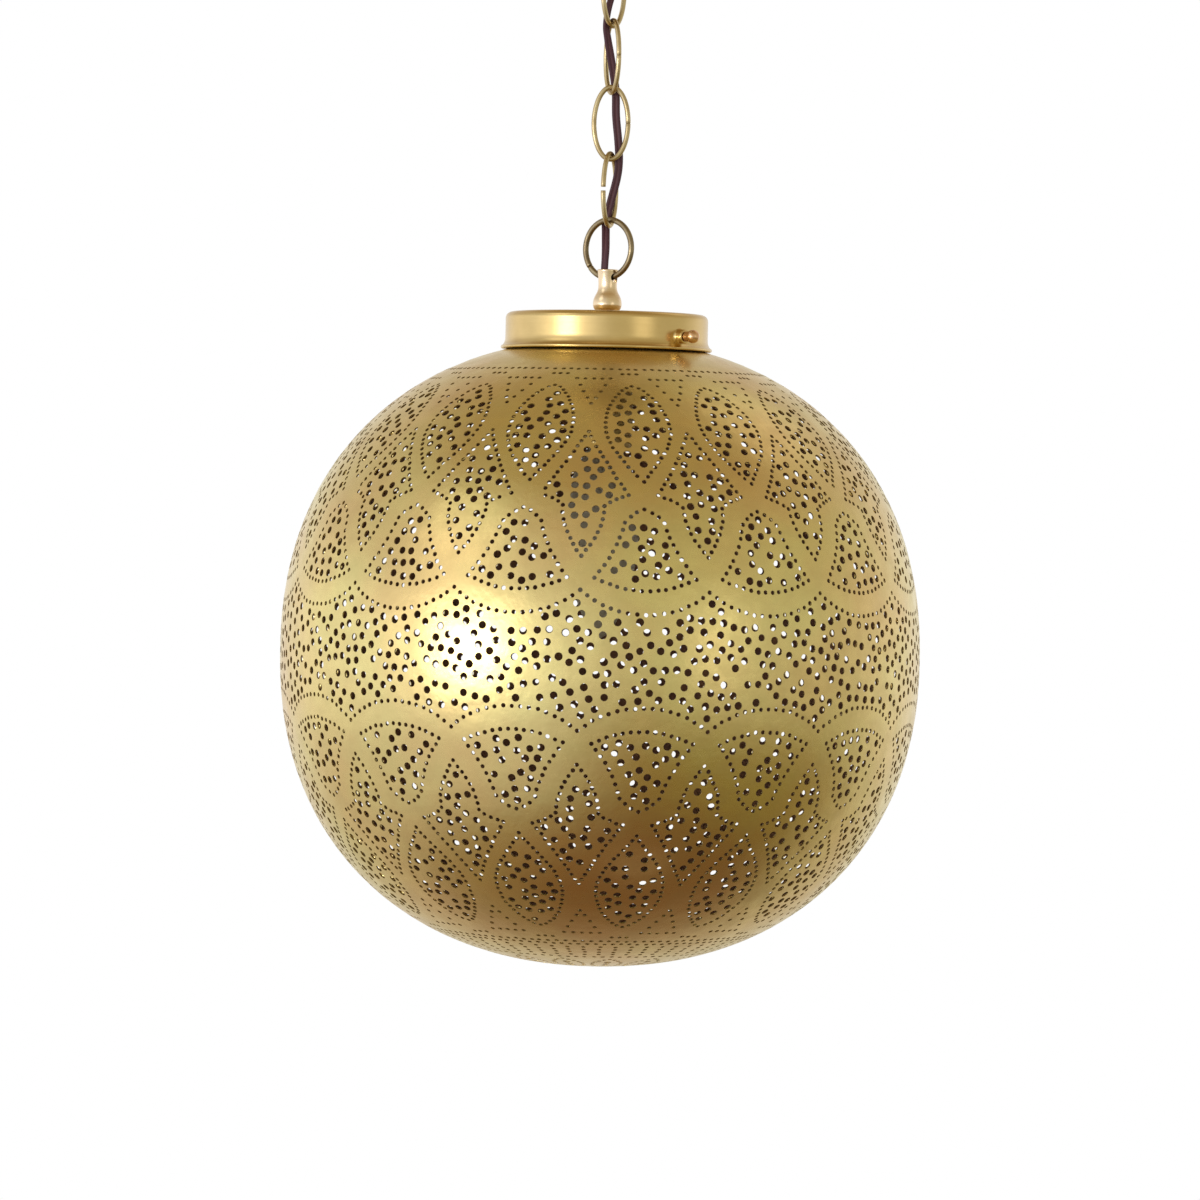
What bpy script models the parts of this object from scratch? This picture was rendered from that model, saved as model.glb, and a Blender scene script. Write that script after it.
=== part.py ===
"""Hanging lantern: a pierced brass ball of two spun halves, held by a fitter cap with two thumb
screws, on a turned hanger, a split ring and a chain under a ceiling canopy, with the lamp holder
and the candle bulb inside the ball and a lead woven up the chain.

Units are metres and +Z is up. The origin is on the ceiling, on the chain's axis, where the
crossbar lies against it. Heights written as ball(...) are counted from the ball's centre.
"""

import math

import bmesh
import bpy
from mathutils import Euler, Matrix, Vector

MM = 0.001
GAP = 0.3 * MM  # between pieces that touch

# ---- driving dimensions -------------------------------------------------------------------
BALL_DROP = 382 * MM  # ceiling to the ball's centre
BALL_RADIUS = 150 * MM
BALL_RISE = 148 * MM  # centre to where the upper half's curve would close
BALL_FALL = 145.5 * MM  # centre to the lower pole
BALL_POWER = 2.2  # superellipse power of the section: 2 is an ellipse
SHEET = 1.0 * MM  # the spun brass
NECK_RADIUS = 45.5 * MM

CAP_RADIUS = 47.5 * MM
CAP_SHEET = 0.8 * MM
CAP_TOP = 160.2 * MM
CAP_LIP = 143.4 * MM
SCREW_HEIGHT = 149.0 * MM
SCREW_TURNS = (-45, 135)  # degrees round the cap, one opposite the other

STEM_RADIUS = 5.0 * MM  # hollow threaded tube, as in all lamp fittings
STEM_BORE = 3.5 * MM
TAP_RADIUS = STEM_RADIUS + GAP

RING_RADIUS = 13.5 * MM  # centreline
RING_WIRE = 1.39 * MM
RING_PLANE = -38  # degrees from +X
RING_CENTRE = 190.7 * MM

LINK_HALF_WIDTH = 8.0 * MM  # centreline of the oval
LINK_HALF_HEIGHT = 16.9 * MM
LINK_WIRE = 1.175 * MM
LINK_PITCH = 31.15 * MM
LINK_PLANES = (52, -68, 0, 68)  # degrees from +X, top link first
LOWEST_LINK = 218.3 * MM  # its centre

LOOP_RADIUS = 9.5 * MM
LOOP_WIRE = 2.0 * MM
LOOP_PLANE = -40
LOOP_CENTRE = 334.7 * MM

CANOPY_RADIUS = 62.5 * MM
CANOPY_DEPTH = 30 * MM

HOLDER_RADIUS = 13.1 * MM  # the lamp holder's shell
CORD_RADIUS = 1.1 * MM
CORD_STEP = 5.6 * MM  # between two points of the cord

FINE = 32  # sides of a large turned piece
COARSE = 20  # sides of a small one


def ball(height):
    """The height above the origin of a height above the ball's centre."""
    return height - BALL_DROP


# ---- making ---------------------------------------------------------------------------------


def clear_scene():
    for item in list(bpy.data.objects):
        bpy.data.objects.remove(item)


def material(name, colour, roughness, metallic):
    made = bpy.data.materials.new(name)
    made.use_nodes = True
    shader = made.node_tree.nodes["Principled BSDF"]
    shader.inputs["Base Color"].default_value = (*colour, 1)
    shader.inputs["Roughness"].default_value = roughness
    shader.inputs["Metallic"].default_value = metallic
    made.diffuse_color = (*colour, 1)
    return made


def add_mesh(name, shape, finish, matrix=None):
    """An object from a bmesh, with its faces turned outwards and round pieces shaded smooth."""
    bmesh.ops.remove_doubles(shape, verts=shape.verts, dist=1e-7)
    bmesh.ops.recalc_face_normals(shape, faces=shape.faces)
    mesh = bpy.data.meshes.new(name)
    shape.to_mesh(mesh)
    shape.free()
    mesh.shade_smooth()
    mesh.set_sharp_from_angle(angle=math.radians(35))
    if finish:
        mesh.materials.append(finish)
    made = bpy.data.objects.new(name, mesh)
    made.matrix_world = matrix or Matrix()
    bpy.context.collection.objects.link(made)
    return made


def turned(name, profile, finish, sides=COARSE, matrix=None):
    """A profile of (radius, height) points turned about Z. One that ends off the axis is closed."""
    shape = bmesh.new()
    points = [shape.verts.new((r, 0, z)) for r, z in profile]
    edges = [shape.edges.new(pair) for pair in zip(points, points[1:])]
    if profile[0][0] > 0 or profile[-1][0] > 0:
        edges.append(shape.edges.new((points[-1], points[0])))
    bmesh.ops.spin(
        shape, geom=points + edges, axis=(0, 0, 1), cent=(0, 0, 0),
        angle=2 * math.pi, steps=sides, use_merge=True,
    )
    return add_mesh(name, shape, finish, matrix)


def tube(name, outer, inner, low, high, finish, sides=COARSE, matrix=None):
    """A ring or a sleeve with square ends."""
    profile = [(outer, high), (outer, low), (inner, low), (inner, high)]
    return turned(name, profile, finish, sides, matrix)


def rod(name, radius, low, high, finish, sides=COARSE, matrix=None):
    return turned(name, [(0, high), (radius, high), (radius, low), (0, low)], finish, sides, matrix)


def hex_nut(name, low, high, finish):
    """A lamp locknut for the hollow stem."""
    nut = rod(name, 8.4 * MM, low, high, finish, 6)
    combine(nut, "DIFFERENCE", rod(name + "_tap", TAP_RADIUS, low - MM, high + MM, None))


def block(name, low, high, finish, bevel=0.0):
    shape = bmesh.new()
    bmesh.ops.create_cube(shape, size=1)
    low, high = Vector(low), Vector(high)
    size = high - low
    for vert in shape.verts:
        vert.co = Vector(c * s for c, s in zip(vert.co, size)) + (low + high) / 2
    made = add_mesh(name, shape, finish)
    if bevel:
        rounding = made.modifiers.new("Rounding", "BEVEL")
        rounding.width = bevel
        rounding.segments = 2
    return made


def wire(name, points, radius, finish, sides_code=2):
    """A round wire along points: an open curve with filled ends."""
    curve = bpy.data.curves.new(name, "CURVE")
    curve.dimensions = "3D"
    curve.bevel_depth = radius
    curve.bevel_resolution = sides_code
    curve.use_fill_caps = True
    line = curve.splines.new("POLY")
    line.points.add(len(points) - 1)
    for place, point in zip(line.points, points):
        place.co = (*point, 1)
    curve.materials.append(finish)
    made = bpy.data.objects.new(name, curve)
    bpy.context.collection.objects.link(made)
    return made


def combine(base, operation, helper):
    """A Boolean between a piece and a helper, which is left out of the object."""
    helper.hide_render = True
    helper.display_type = "WIRE"
    change = base.modifiers.new(helper.name, "BOOLEAN")
    change.operation = operation
    change.solver = "EXACT"
    change.object = helper


def turned_plane(degrees, centre_z):
    """Stands the XZ plane's drawing at an angle about Z, at a height on the chain's axis."""
    return Matrix.Translation((0, 0, centre_z)) @ Matrix.Rotation(math.radians(degrees), 4, "Z")


def radial(degrees, height):
    """Lays +Z along a radius at this angle and height."""
    turn = Euler((0, math.radians(90), math.radians(degrees)), "XYZ").to_matrix().to_4x4()
    return Matrix.Translation((0, 0, height)) @ turn


def arc(radius, centre, start, end, steps):
    """Points on a circle in the (radius, height) plane, from one angle in degrees to another."""
    angles = [math.radians(start + (end - start) * i / steps) for i in range(steps + 1)]
    return [(centre[0] + radius * math.cos(a), centre[1] + radius * math.sin(a)) for a in angles]


# ---- the ball -------------------------------------------------------------------------------


def ball_curve(rise, inset, end_radius, steps):
    """The section from the equator to end_radius: a superellipse, inset by the sheet inside."""
    wide, tall = BALL_RADIUS - inset, abs(rise) - inset
    last = math.acos((end_radius / wide) ** (BALL_POWER / 2))
    points = []
    for i in range(steps + 1):
        turn = last * i / steps
        radius = wide * math.cos(turn) ** (2 / BALL_POWER) if i < steps else end_radius
        height = tall * math.sin(turn) ** (2 / BALL_POWER)
        points.append((radius, math.copysign(height, rise)))
    return points


def lift(points, height):
    return [(r, ball(z) + height * (z == 0)) for r, z in points]


def make_shade(brass):
    """Two spun halves, edge to edge at the equator. The upper one carries the neck."""
    steps = 11
    neck_top = 155 * MM
    outer = lift(ball_curve(BALL_RISE, 0, NECK_RADIUS, steps), GAP / 2)
    inner = lift(ball_curve(BALL_RISE, SHEET, NECK_RADIUS - SHEET, steps), GAP / 2)
    neck = [(NECK_RADIUS, ball(neck_top)), (NECK_RADIUS - SHEET, ball(neck_top))]
    turned("shade_upper_half", outer + neck + inner[::-1], brass, FINE)

    outer = lift(ball_curve(-BALL_FALL, 0, 0, steps), -GAP / 2)
    inner = lift(ball_curve(-BALL_FALL, SHEET, 0, steps), -GAP / 2)
    # the section runs from the outer pole to the edge and back to the inner pole
    turned("shade_lower_half", outer[::-1] + inner, brass, FINE)


def make_cap(brass, screw_brass):
    """The fitter cap, with two short bosses for its thumb screws."""
    corner = 3 * MM
    inner_corner = corner - CAP_SHEET
    inner_radius = CAP_RADIUS - CAP_SHEET
    lip_height, lip_out = 1.9 * MM, 1.3 * MM
    middle = (CAP_RADIUS - corner, ball(CAP_TOP) - corner)
    lip_centre = ball(CAP_LIP) + lip_height / 2
    profile = [(STEM_RADIUS + 0.4 * MM, ball(CAP_TOP))]
    profile += arc(corner, middle, 90, 0, 4)
    profile += [(CAP_RADIUS, lip_centre + lip_height / 2)]
    profile += arc(lip_height / 2, (CAP_RADIUS + lip_out - lip_height / 2, lip_centre), 70, -70, 4)
    profile += [(inner_radius, ball(CAP_LIP))]
    profile += arc(inner_corner, middle, 0, 90, 3)
    profile += [(STEM_RADIUS + 0.4 * MM, ball(CAP_TOP) - CAP_SHEET)]
    cap = turned("fitter_cap", profile, brass, FINE)

    boss_end = 51.6 * MM
    for number, turn in enumerate(SCREW_TURNS, 1):
        place = radial(turn, ball(SCREW_HEIGHT))
        inner_face = CAP_RADIUS - CAP_SHEET / 2
        shape = [(0, boss_end)]
        shape += arc(0.8 * MM, (2.5 * MM, boss_end - 0.8 * MM), 90, 0, 2)
        shape += [(3.3 * MM, inner_face), (0, inner_face)]
        boss = turned(f"boss_{number}", shape, None, 14, place)
        combine(cap, "UNION", boss)
        hole = rod(f"boss_hole_{number}", 2.3 * MM, 43 * MM, 55 * MM, None, 12, place)
        combine(cap, "DIFFERENCE", hole)
        make_thumb_screw(f"thumb_screw_{number}", boss_end + GAP, place, screw_brass)


def make_thumb_screw(name, seat, place, brass):
    """A round-headed screw: a thread that reaches the neck, and a grooved head to turn by hand."""
    tip = NECK_RADIUS + GAP
    thread, head, length, bead = 2.0 * MM, 3.4 * MM, 7.2 * MM, 1.1 * MM
    end = seat + length
    profile = [(0, tip), (thread - 0.4 * MM, tip), (thread, tip + 0.5 * MM), (thread, seat)]
    profile += [(head - 0.5 * MM, seat), (head, seat + 0.5 * MM)]
    profile += arc(bead, (head - bead, end - bead), 0, 90, 4)
    profile += [(0, end)]
    turned(name, profile, brass, 14, place)


# ---- the hanger and the chain ---------------------------------------------------------------


def make_hanger(brass):
    """A turned vase shape. The stem screws into its foot; the ring and the cord share its top."""
    outside = (
        (5.3, 160.5), (5.7, 161.0), (5.75, 161.6), (6.45, 162.8), (6.75, 164.6), (6.5, 166.4),
        (5.85, 168.2), (5.15, 170.2), (4.75, 172.4), (4.6, 174.6), (4.7, 177.2), (4.75, 180.4),
        (4.45, 180.9),
    )
    inside = ((4.0, 180.9), (4.0, 168.6), (TAP_RADIUS / MM, 168.0), (TAP_RADIUS / MM, 160.5))
    # the foot's bore is wider than its foot rim, so the rim starts outside the bore
    profile = [(max(r * MM, TAP_RADIUS + 0.2 * MM) if z < 161 else r * MM, ball(z * MM))
               for r, z in outside]
    profile += [(r * MM, ball(z * MM)) for r, z in inside]
    hanger = turned("hanger", profile, brass, COARSE)
    across = radial(RING_PLANE, ball(RING_CENTRE - RING_RADIUS))
    hole = rod("hanger_hole", 2.5 * MM, -10 * MM, 10 * MM, None, 16, across)
    combine(hanger, "DIFFERENCE", hole)


def oval(half_width, half_height, gap_at, gap, steps):
    """Points round an oval in the XZ plane, open by gap at the angle gap_at in degrees."""
    away = math.radians(gap_at)
    spread = gap / 2 / math.hypot(half_width * math.sin(away), half_height * math.cos(away))
    points = []
    for i in range(steps + 1):
        turn = away + spread + (2 * math.pi - 2 * spread) * i / steps
        points.append(Vector((half_width * math.cos(turn), 0, half_height * math.sin(turn))))
    return points


def make_ring(brass):
    place = turned_plane(RING_PLANE, ball(RING_CENTRE))
    points = [place @ p for p in oval(RING_RADIUS, RING_RADIUS, 218, 0.4 * MM, 32)]
    wire("hanging_ring", points, RING_WIRE, brass)


def link_centre(number):
    """Number 0 is the top link."""
    return LOWEST_LINK + LINK_PITCH * (len(LINK_PLANES) - 1 - number)


def make_chain(brass):
    """Oval links, each bent from one wire whose ends meet at the middle of one side."""
    open_ends = {0: (0, 0.35 * MM), 1: (0, 0.35 * MM), 2: (0, 0.35 * MM), 3: (180, 1.7 * MM)}
    for number, plane in enumerate(LINK_PLANES):
        side, gap = open_ends[number]
        place = turned_plane(plane, ball(link_centre(number)))
        outline = oval(LINK_HALF_WIDTH, LINK_HALF_HEIGHT, side, gap, 32)
        wire(f"chain_link_{number + 1}", [place @ p for p in outline], LINK_WIRE, brass)


# ---- the ceiling fitting --------------------------------------------------------------------


def make_canopy(brass):
    """A shallow spun dome with a short straight rim and a centre hole for the loop's stem."""
    rim = 3 * MM
    dome = CANOPY_DEPTH - rim
    hole = 6.5 * MM

    def section(radius, depth, start):
        sphere = (radius**2 + depth**2) / (2 * depth)
        last = math.asin(hole / sphere)
        first = math.asin(radius / sphere)
        top = -rim - depth + sphere
        turns = [first + (last - first) * i / 7 for i in range(8)]
        curve = [(sphere * math.sin(t), top - sphere * math.cos(t)) for t in turns]
        return [(radius, start)] + curve

    outer = section(CANOPY_RADIUS, dome, -GAP)
    inner = section(CANOPY_RADIUS - CAP_SHEET, dome - CAP_SHEET, -GAP)
    turned("canopy", outer + inner[::-1], brass, FINE)


def make_loop(brass):
    """The loop that holds the chain, cast with a threaded stem and bored for the cord."""
    stem_radius = 6.0 * MM
    stem_top = -24 * MM
    stem_foot = ball(LOOP_CENTRE) + LOOP_RADIUS - 3.4 * MM
    seat = -34 * MM
    place = turned_plane(LOOP_PLANE, ball(LOOP_CENTRE))
    stem = rod("canopy_loop", stem_radius, stem_foot, stem_top, brass, 24)

    ring = bmesh.new()
    sides, steps = 10, 24
    section = [ring.verts.new((LOOP_RADIUS + LOOP_WIRE * math.cos(a), 0, LOOP_WIRE * math.sin(a)))
               for a in (2 * math.pi * i / sides for i in range(sides))]
    edges = [ring.edges.new(pair) for pair in zip(section, section[1:] + section[:1])]
    bmesh.ops.spin(ring, geom=section + edges, axis=(0, 0, 1), cent=(0, 0, 0),
                   angle=2 * math.pi, steps=steps, use_merge=True)
    upright = place @ Matrix.Rotation(math.radians(90), 4, "X") @ Matrix.Rotation(0.11, 4, "Z")
    combine(stem, "UNION", add_mesh("loop_ring", ring, None, upright))
    combine(stem, "DIFFERENCE", rod("loop_tap", TAP_RADIUS, seat, 0, None, COARSE))
    way = rod("loop_way", 2.4 * MM, ball(LOOP_CENTRE) + 2 * MM, -20 * MM, None, 12)
    combine(stem, "DIFFERENCE", way)

    nut_top = -CANOPY_DEPTH - 0.6 * MM
    profile = [(6.4 * MM, nut_top), (10.2 * MM, nut_top), (11 * MM, nut_top - 0.8 * MM),
               (11 * MM, nut_top - 4.2 * MM), (10.2 * MM, nut_top - 5 * MM),
               (6.4 * MM, nut_top - 5 * MM)]
    turned("collar_nut", profile, brass, 24)


def make_crossbar(steel, screw_steel, green):
    """A flat bar across the ceiling box, with its two screws, an earth screw and the nipple."""
    half_length, half_width, thick = 50 * MM, 8 * MM, 2 * MM
    bar = block("crossbar", (-half_length, -half_width, -thick), (half_length, half_width, 0), steel)
    combine(bar, "DIFFERENCE", rod("bar_tap", TAP_RADIUS, -5 * MM, 5 * MM, None))
    for number, x in enumerate((-41 * MM, 41 * MM), 1):
        place = Matrix.Translation((x, 0, 0))
        hole = rod(f"bar_hole_{number}", 2.6 * MM, -5 * MM, 5 * MM, None, 12, place)
        combine(bar, "DIFFERENCE", hole)
        make_screw(f"box_screw_{number}", place, thick, 2.1 * MM, 4.0 * MM, 8 * MM, screw_steel)
    place = Matrix.Translation((24 * MM, 0, 0))
    combine(bar, "DIFFERENCE", rod("bar_earth", 2.3 * MM, -5 * MM, 5 * MM, None, 12, place))
    make_screw("earth_screw", place, thick, 1.9 * MM, 3.6 * MM, -0.4 * MM, green)

    tube("canopy_nipple", STEM_RADIUS, STEM_BORE, -33.6 * MM, -0.1 * MM, steel)
    nut_top = -thick - GAP
    hex_nut("crossbar_locknut", nut_top - 3.2 * MM, nut_top, steel)


def make_screw(name, place, bar, shank, head, point, finish):
    """A pan-head screw put up through the bar from below."""
    seat = -bar - GAP
    profile = [(0, point), (shank, point), (shank, seat), (head, seat), (head, seat - 1.4 * MM),
               (head - 1.1 * MM, seat - 2.3 * MM), (0, seat - 2.3 * MM)]
    turned(name, profile, finish, 14, place)


# ---- the lamp holder and the bulb -----------------------------------------------------------


def make_holder(brass, steel, board, ceramic):
    """A keyless lamp holder under the cap: metal cap and shell, card liner and ceramic core."""
    tube("cap_stem", STEM_RADIUS, STEM_BORE, ball(141 * MM), ball(167.4 * MM), steel)
    tube("cap_washer", 12 * MM, TAP_RADIUS, ball(157.9 * MM), ball(159.1 * MM), steel)
    hex_nut("cap_locknut", ball(153.8 * MM), ball(157.6 * MM), steel)

    skirt = HOLDER_RADIUS + 0.9 * MM
    wall = 0.6 * MM
    outer = [(7.4 * MM, ball(153.4 * MM)), (7.4 * MM, ball(146.5 * MM))]
    outer += [(9.5 * MM, ball(144.6 * MM)), (12.2 * MM, ball(141.6 * MM)),
              (skirt, ball(138 * MM)), (skirt, ball(131 * MM))]
    inner = [(skirt - wall, ball(131 * MM)), (skirt - wall, ball(137.8 * MM)),
             (11.7 * MM, ball(141 * MM)), (9.1 * MM, ball(143.8 * MM)),
             (TAP_RADIUS, ball(145.2 * MM)), (TAP_RADIUS, ball(153.4 * MM))]
    turned("socket_cap", outer + inner, brass, COARSE)

    shell_top, shell_foot, lip = ball(137 * MM), ball(97 * MM), 10.6 * MM
    shell = [(HOLDER_RADIUS, shell_top), (HOLDER_RADIUS, shell_foot + 0.8 * MM),
             (HOLDER_RADIUS - 0.8 * MM, shell_foot), (lip, shell_foot), (lip, shell_foot + wall),
             (HOLDER_RADIUS - wall - 0.4 * MM, shell_foot + wall),
             (HOLDER_RADIUS - wall, shell_foot + 1.2 * MM), (HOLDER_RADIUS - wall, shell_top)]
    turned("socket_shell", shell, brass, COARSE)
    liner = HOLDER_RADIUS - wall - 0.3 * MM
    tube("socket_liner", liner, liner - 0.5 * MM, ball(98.6 * MM), ball(136 * MM), board, 24)

    core_radius, core_foot, core_top = 11.3 * MM, ball(122 * MM), ball(134 * MM)
    core = rod("socket_core", core_radius, core_foot, core_top, ceramic, 24)
    for number, side in enumerate((1, -1), 1):
        near, far = sorted((side * 8 * MM, side * 13 * MM))
        notch = block(f"notch_{number}", (near, -4 * MM, core_foot + 2 * MM),
                      (far, 4 * MM, core_top + 2 * MM), None)
        combine(core, "DIFFERENCE", notch)
        place = radial(0 if side > 0 else 180, core_foot + 6.5 * MM)
        combine(core, "DIFFERENCE", rod(f"core_hole_{number}", 1.8 * MM, 3.4 * MM, 9 * MM, None, 12,
                                        place))
        screw = [(0, 3.8 * MM), (1.5 * MM, 3.8 * MM), (1.5 * MM, 8.3 * MM), (2.5 * MM, 8.3 * MM),
                 (2.5 * MM, 9.6 * MM), (1.8 * MM, 10.1 * MM), (0, 10.1 * MM)]
        turned(f"terminal_screw_{number}", screw, brass, 12, place)
    rod("centre_contact", 3 * MM, ball(120.7 * MM), ball(121.7 * MM), brass, 12)
    tube("screw_shell", 7.9 * MM, 7.4 * MM, ball(102 * MM), core_foot - GAP, brass, 24)


def make_bulb(metal, glass):
    """A frosted candle bulb on a small screw base. The glass is open inside the base."""
    base, wall = 6.9 * MM, 0.4 * MM
    top, foot = ball(118.4 * MM), ball(102.3 * MM)
    shell = [(base, foot), (base, top - 3 * MM), (4.2 * MM, top), (1.9 * MM, top),
             (1.9 * MM, top - 0.6 * MM), (4.0 * MM, top - 0.6 * MM),
             (base - wall, top - 3.4 * MM), (base - wall, foot)]
    turned("bulb_base", shell, metal, 24)
    head, cap = ball(120.4 * MM), top + GAP
    tip = [(0, head), (1.9 * MM, head), (2.8 * MM, head - 0.7 * MM), (2.8 * MM, cap),
           (1.6 * MM, cap), (1.6 * MM, top - 1.6 * MM), (0, top - 1.6 * MM)]
    turned("bulb_tip_contact", tip, metal, 12)

    thick = 0.9 * MM
    neck = [(6.1, 112), (6.1, 102), (7.2, 98.5), (8.6, 95.5)]
    bulge, bulge_radius, lower_tip = 66.0, 17.5, 8.0
    outer = [(r * MM, ball(z * MM)) for r, z in neck]
    for turn in (48, 32, 16, 2, -12, -28, -44, -60, -76, -90):
        t = math.radians(turn)
        reach = 29.5 if turn > 0 else bulge - lower_tip  # taller below, where the candle tapers
        spread = math.cos(t) ** (1.0 if turn > 0 else 1.25)
        radius = bulge_radius * spread if turn > -90 else 0
        height = (bulge + reach * math.sin(t) * (1.0 if turn <= 0 else 1.25)) * MM
        outer.append((radius, ball(height)) if turn <= -90 else (radius * MM, ball(height)))
    inner = [(max(r - thick, 0), z + (thick if r < 0.1 * MM else 0)) for r, z in outer]
    turned("bulb_glass", outer + inner[::-1], glass, COARSE)


# ---- the cord -------------------------------------------------------------------------------

# (x, y, height above the ball's centre), millimetres: out of the lamp holder, up the stem, past
# the ring's wire in the hanger, then in and out of the ring and the links, and into the nipple
CORD_ROUTE = (
    (0, 0, 136), (0, 0, 148), (0, 0, 160), (-0.5, -0.6, 167), (-1.62, -2.09, 174.5),
    (-1.66, -2.13, 180), (-1.3, -0.6, 190), (-1.4, 3.2, 198.5), (-1.4, 4.5, 203.5),
    (0.4, 4.0, 212), (3.3, 3.0, 224), (4.1, 2.75, 232), (3.6, 2.8, 241), (2.3, 2.9, 253),
    (1.9, 2.8, 264), (0.6, 2.3, 273), (-2.2, 0.9, 288), (-3.2, 0.5, 296), (-1.6, 0.5, 306),
    (2.4, 0.9, 318), (4.2, 1.1, 326), (3.0, 0.9, 332.5), (0.5, 0.1, 340), (0, 0, 348),
    (0, 0, 360), (0, 0, 381),
)
# where one stretch of cord ends and the next begins, in the middle of a link
CORD_BREAKS = (187, 218.5, 249.5, 280.5, 311.5)


def smooth_route():
    """Points a step apart on a Catmull-Rom curve through the route."""
    knots = [Vector((x * MM, y * MM, ball(z * MM))) for x, y, z in CORD_ROUTE]
    ends = [knots[0] * 2 - knots[1]] + knots + [knots[-1] * 2 - knots[-2]]
    fine = []
    for a, b, c, d in zip(ends, ends[1:], ends[2:], ends[3:]):
        for i in range(24):
            t = i / 24
            fine.append(0.5 * (2 * b + (c - a) * t + (2 * a - 5 * b + 4 * c - d) * t**2
                               + (3 * b - a - 3 * c + d) * t**3))
    fine.append(knots[-1])
    return fine


def spaced(points):
    """The same line with its points evenly spaced, about a step apart."""
    lengths = [0.0]
    for a, b in zip(points, points[1:]):
        lengths.append(lengths[-1] + (b - a).length)
    count = max(2, round(lengths[-1] / CORD_STEP))
    found, at = [], 0
    for i in range(count + 1):
        want = lengths[-1] * i / count
        while at < len(points) - 2 and lengths[at + 1] < want:
            at += 1
        share = (want - lengths[at]) / max(lengths[at + 1] - lengths[at], 1e-12)
        found.append(points[at].lerp(points[at + 1], min(share, 1)))
    return found


def make_cord(plastic):
    """One lead in six stretches, each of which bends where the chain bends."""
    line = smooth_route()
    levels = [-1] + [ball(z * MM) for z in CORD_BREAKS] + [1]
    for number, (low, high) in enumerate(zip(levels, levels[1:])):
        stretch = [p for p in line if low + GAP / 2 < p.z < high - GAP / 2]
        name = f"cord_{len(CORD_BREAKS) + 1 - number}"
        wire(name, spaced(stretch), CORD_RADIUS, plastic)


def main():
    clear_scene()
    aged_brass = material("aged_brass", (0.55, 0.44, 0.22), 0.38, 1)
    bright_brass = material("bright_brass", (0.72, 0.55, 0.26), 0.25, 1)
    antique_brass = material("antique_brass", (0.42, 0.34, 0.2), 0.35, 1)
    steel = material("zinc_steel", (0.6, 0.6, 0.58), 0.35, 1)
    green = material("green_steel", (0.1, 0.35, 0.15), 0.4, 1)
    board = material("card_liner", (0.25, 0.17, 0.1), 0.9, 0)
    ceramic = material("ceramic", (0.8, 0.78, 0.72), 0.4, 0)
    glass = material("frosted_glass", (0.85, 0.85, 0.82), 0.5, 0)
    plastic = material("brown_cord", (0.13, 0.06, 0.05), 0.45, 0)

    make_crossbar(steel, steel, green)
    make_canopy(antique_brass)
    make_loop(antique_brass)
    make_chain(antique_brass)
    make_ring(antique_brass)
    make_hanger(bright_brass)
    make_cap(aged_brass, bright_brass)
    make_shade(aged_brass)
    make_holder(aged_brass, steel, board, ceramic)
    make_bulb(steel, glass)
    make_cord(plastic)


main()
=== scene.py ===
"""Looks of the hanging lantern: the pierced brass ball under its fitter cap, the turned hanger, the
ring and chain with the brown twin lead, the ceiling canopy, and the lamp holder with its bulb.
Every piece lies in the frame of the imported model: metres, +Z up, the viewer on the -Y side."""

import math

import bmesh
import bpy
import numpy as np
from bpy.props import FloatProperty, FloatVectorProperty, IntProperty, PointerProperty
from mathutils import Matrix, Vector
from mathutils.geometry import delaunay_2d_cdt


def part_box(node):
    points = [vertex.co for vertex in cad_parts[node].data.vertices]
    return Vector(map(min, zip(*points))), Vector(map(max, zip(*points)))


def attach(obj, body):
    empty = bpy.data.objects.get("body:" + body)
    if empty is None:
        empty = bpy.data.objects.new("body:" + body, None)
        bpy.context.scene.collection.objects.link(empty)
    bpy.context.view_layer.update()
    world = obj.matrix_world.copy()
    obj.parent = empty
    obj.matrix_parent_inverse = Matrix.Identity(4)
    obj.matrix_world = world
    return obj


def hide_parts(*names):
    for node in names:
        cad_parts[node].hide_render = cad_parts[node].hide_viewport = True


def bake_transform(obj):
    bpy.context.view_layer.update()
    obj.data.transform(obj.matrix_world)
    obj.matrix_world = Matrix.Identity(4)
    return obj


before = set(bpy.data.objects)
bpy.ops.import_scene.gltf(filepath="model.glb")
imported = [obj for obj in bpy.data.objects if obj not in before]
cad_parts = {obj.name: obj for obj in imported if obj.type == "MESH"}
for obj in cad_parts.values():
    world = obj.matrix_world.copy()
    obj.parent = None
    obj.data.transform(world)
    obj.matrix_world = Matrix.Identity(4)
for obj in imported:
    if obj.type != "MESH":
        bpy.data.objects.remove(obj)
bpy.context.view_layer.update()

bl_info = {
    "name": "Pierced brass lantern",
    "version": (1, 0, 0),
    "blender": (4, 5, 0),
    "location": "View3D > Sidebar > Lantern",
    "description": "Builds the looks of a pierced brass lantern around its packed parts",
    "category": "Object",
}

MM = 0.001
CREASE = 35  # degrees between two faces, past which their edge is drawn sharp

# ---- places taken from the frame ------------------------------------------------------------

LOWER_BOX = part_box("shade_lower_half")
UPPER_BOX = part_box("shade_upper_half")
CAP_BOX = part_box("fitter_cap")
SEAM = (LOWER_BOX[1][2] + UPPER_BOX[0][2]) / 2  # height of the ball's widest circle
BALL_RADIUS = UPPER_BOX[1][0]
BALL_FALL = SEAM - LOWER_BOX[0][2]
BALL_RISE = 148 * MM  # where the upper half's curve would close, were it not for the neck
BALL_POWER = 2.2
NECK_RADIUS = 45.5 * MM
NECK_TOP = UPPER_BOX[1][2]
CAP_TOP = CAP_BOX[1][2]

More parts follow.
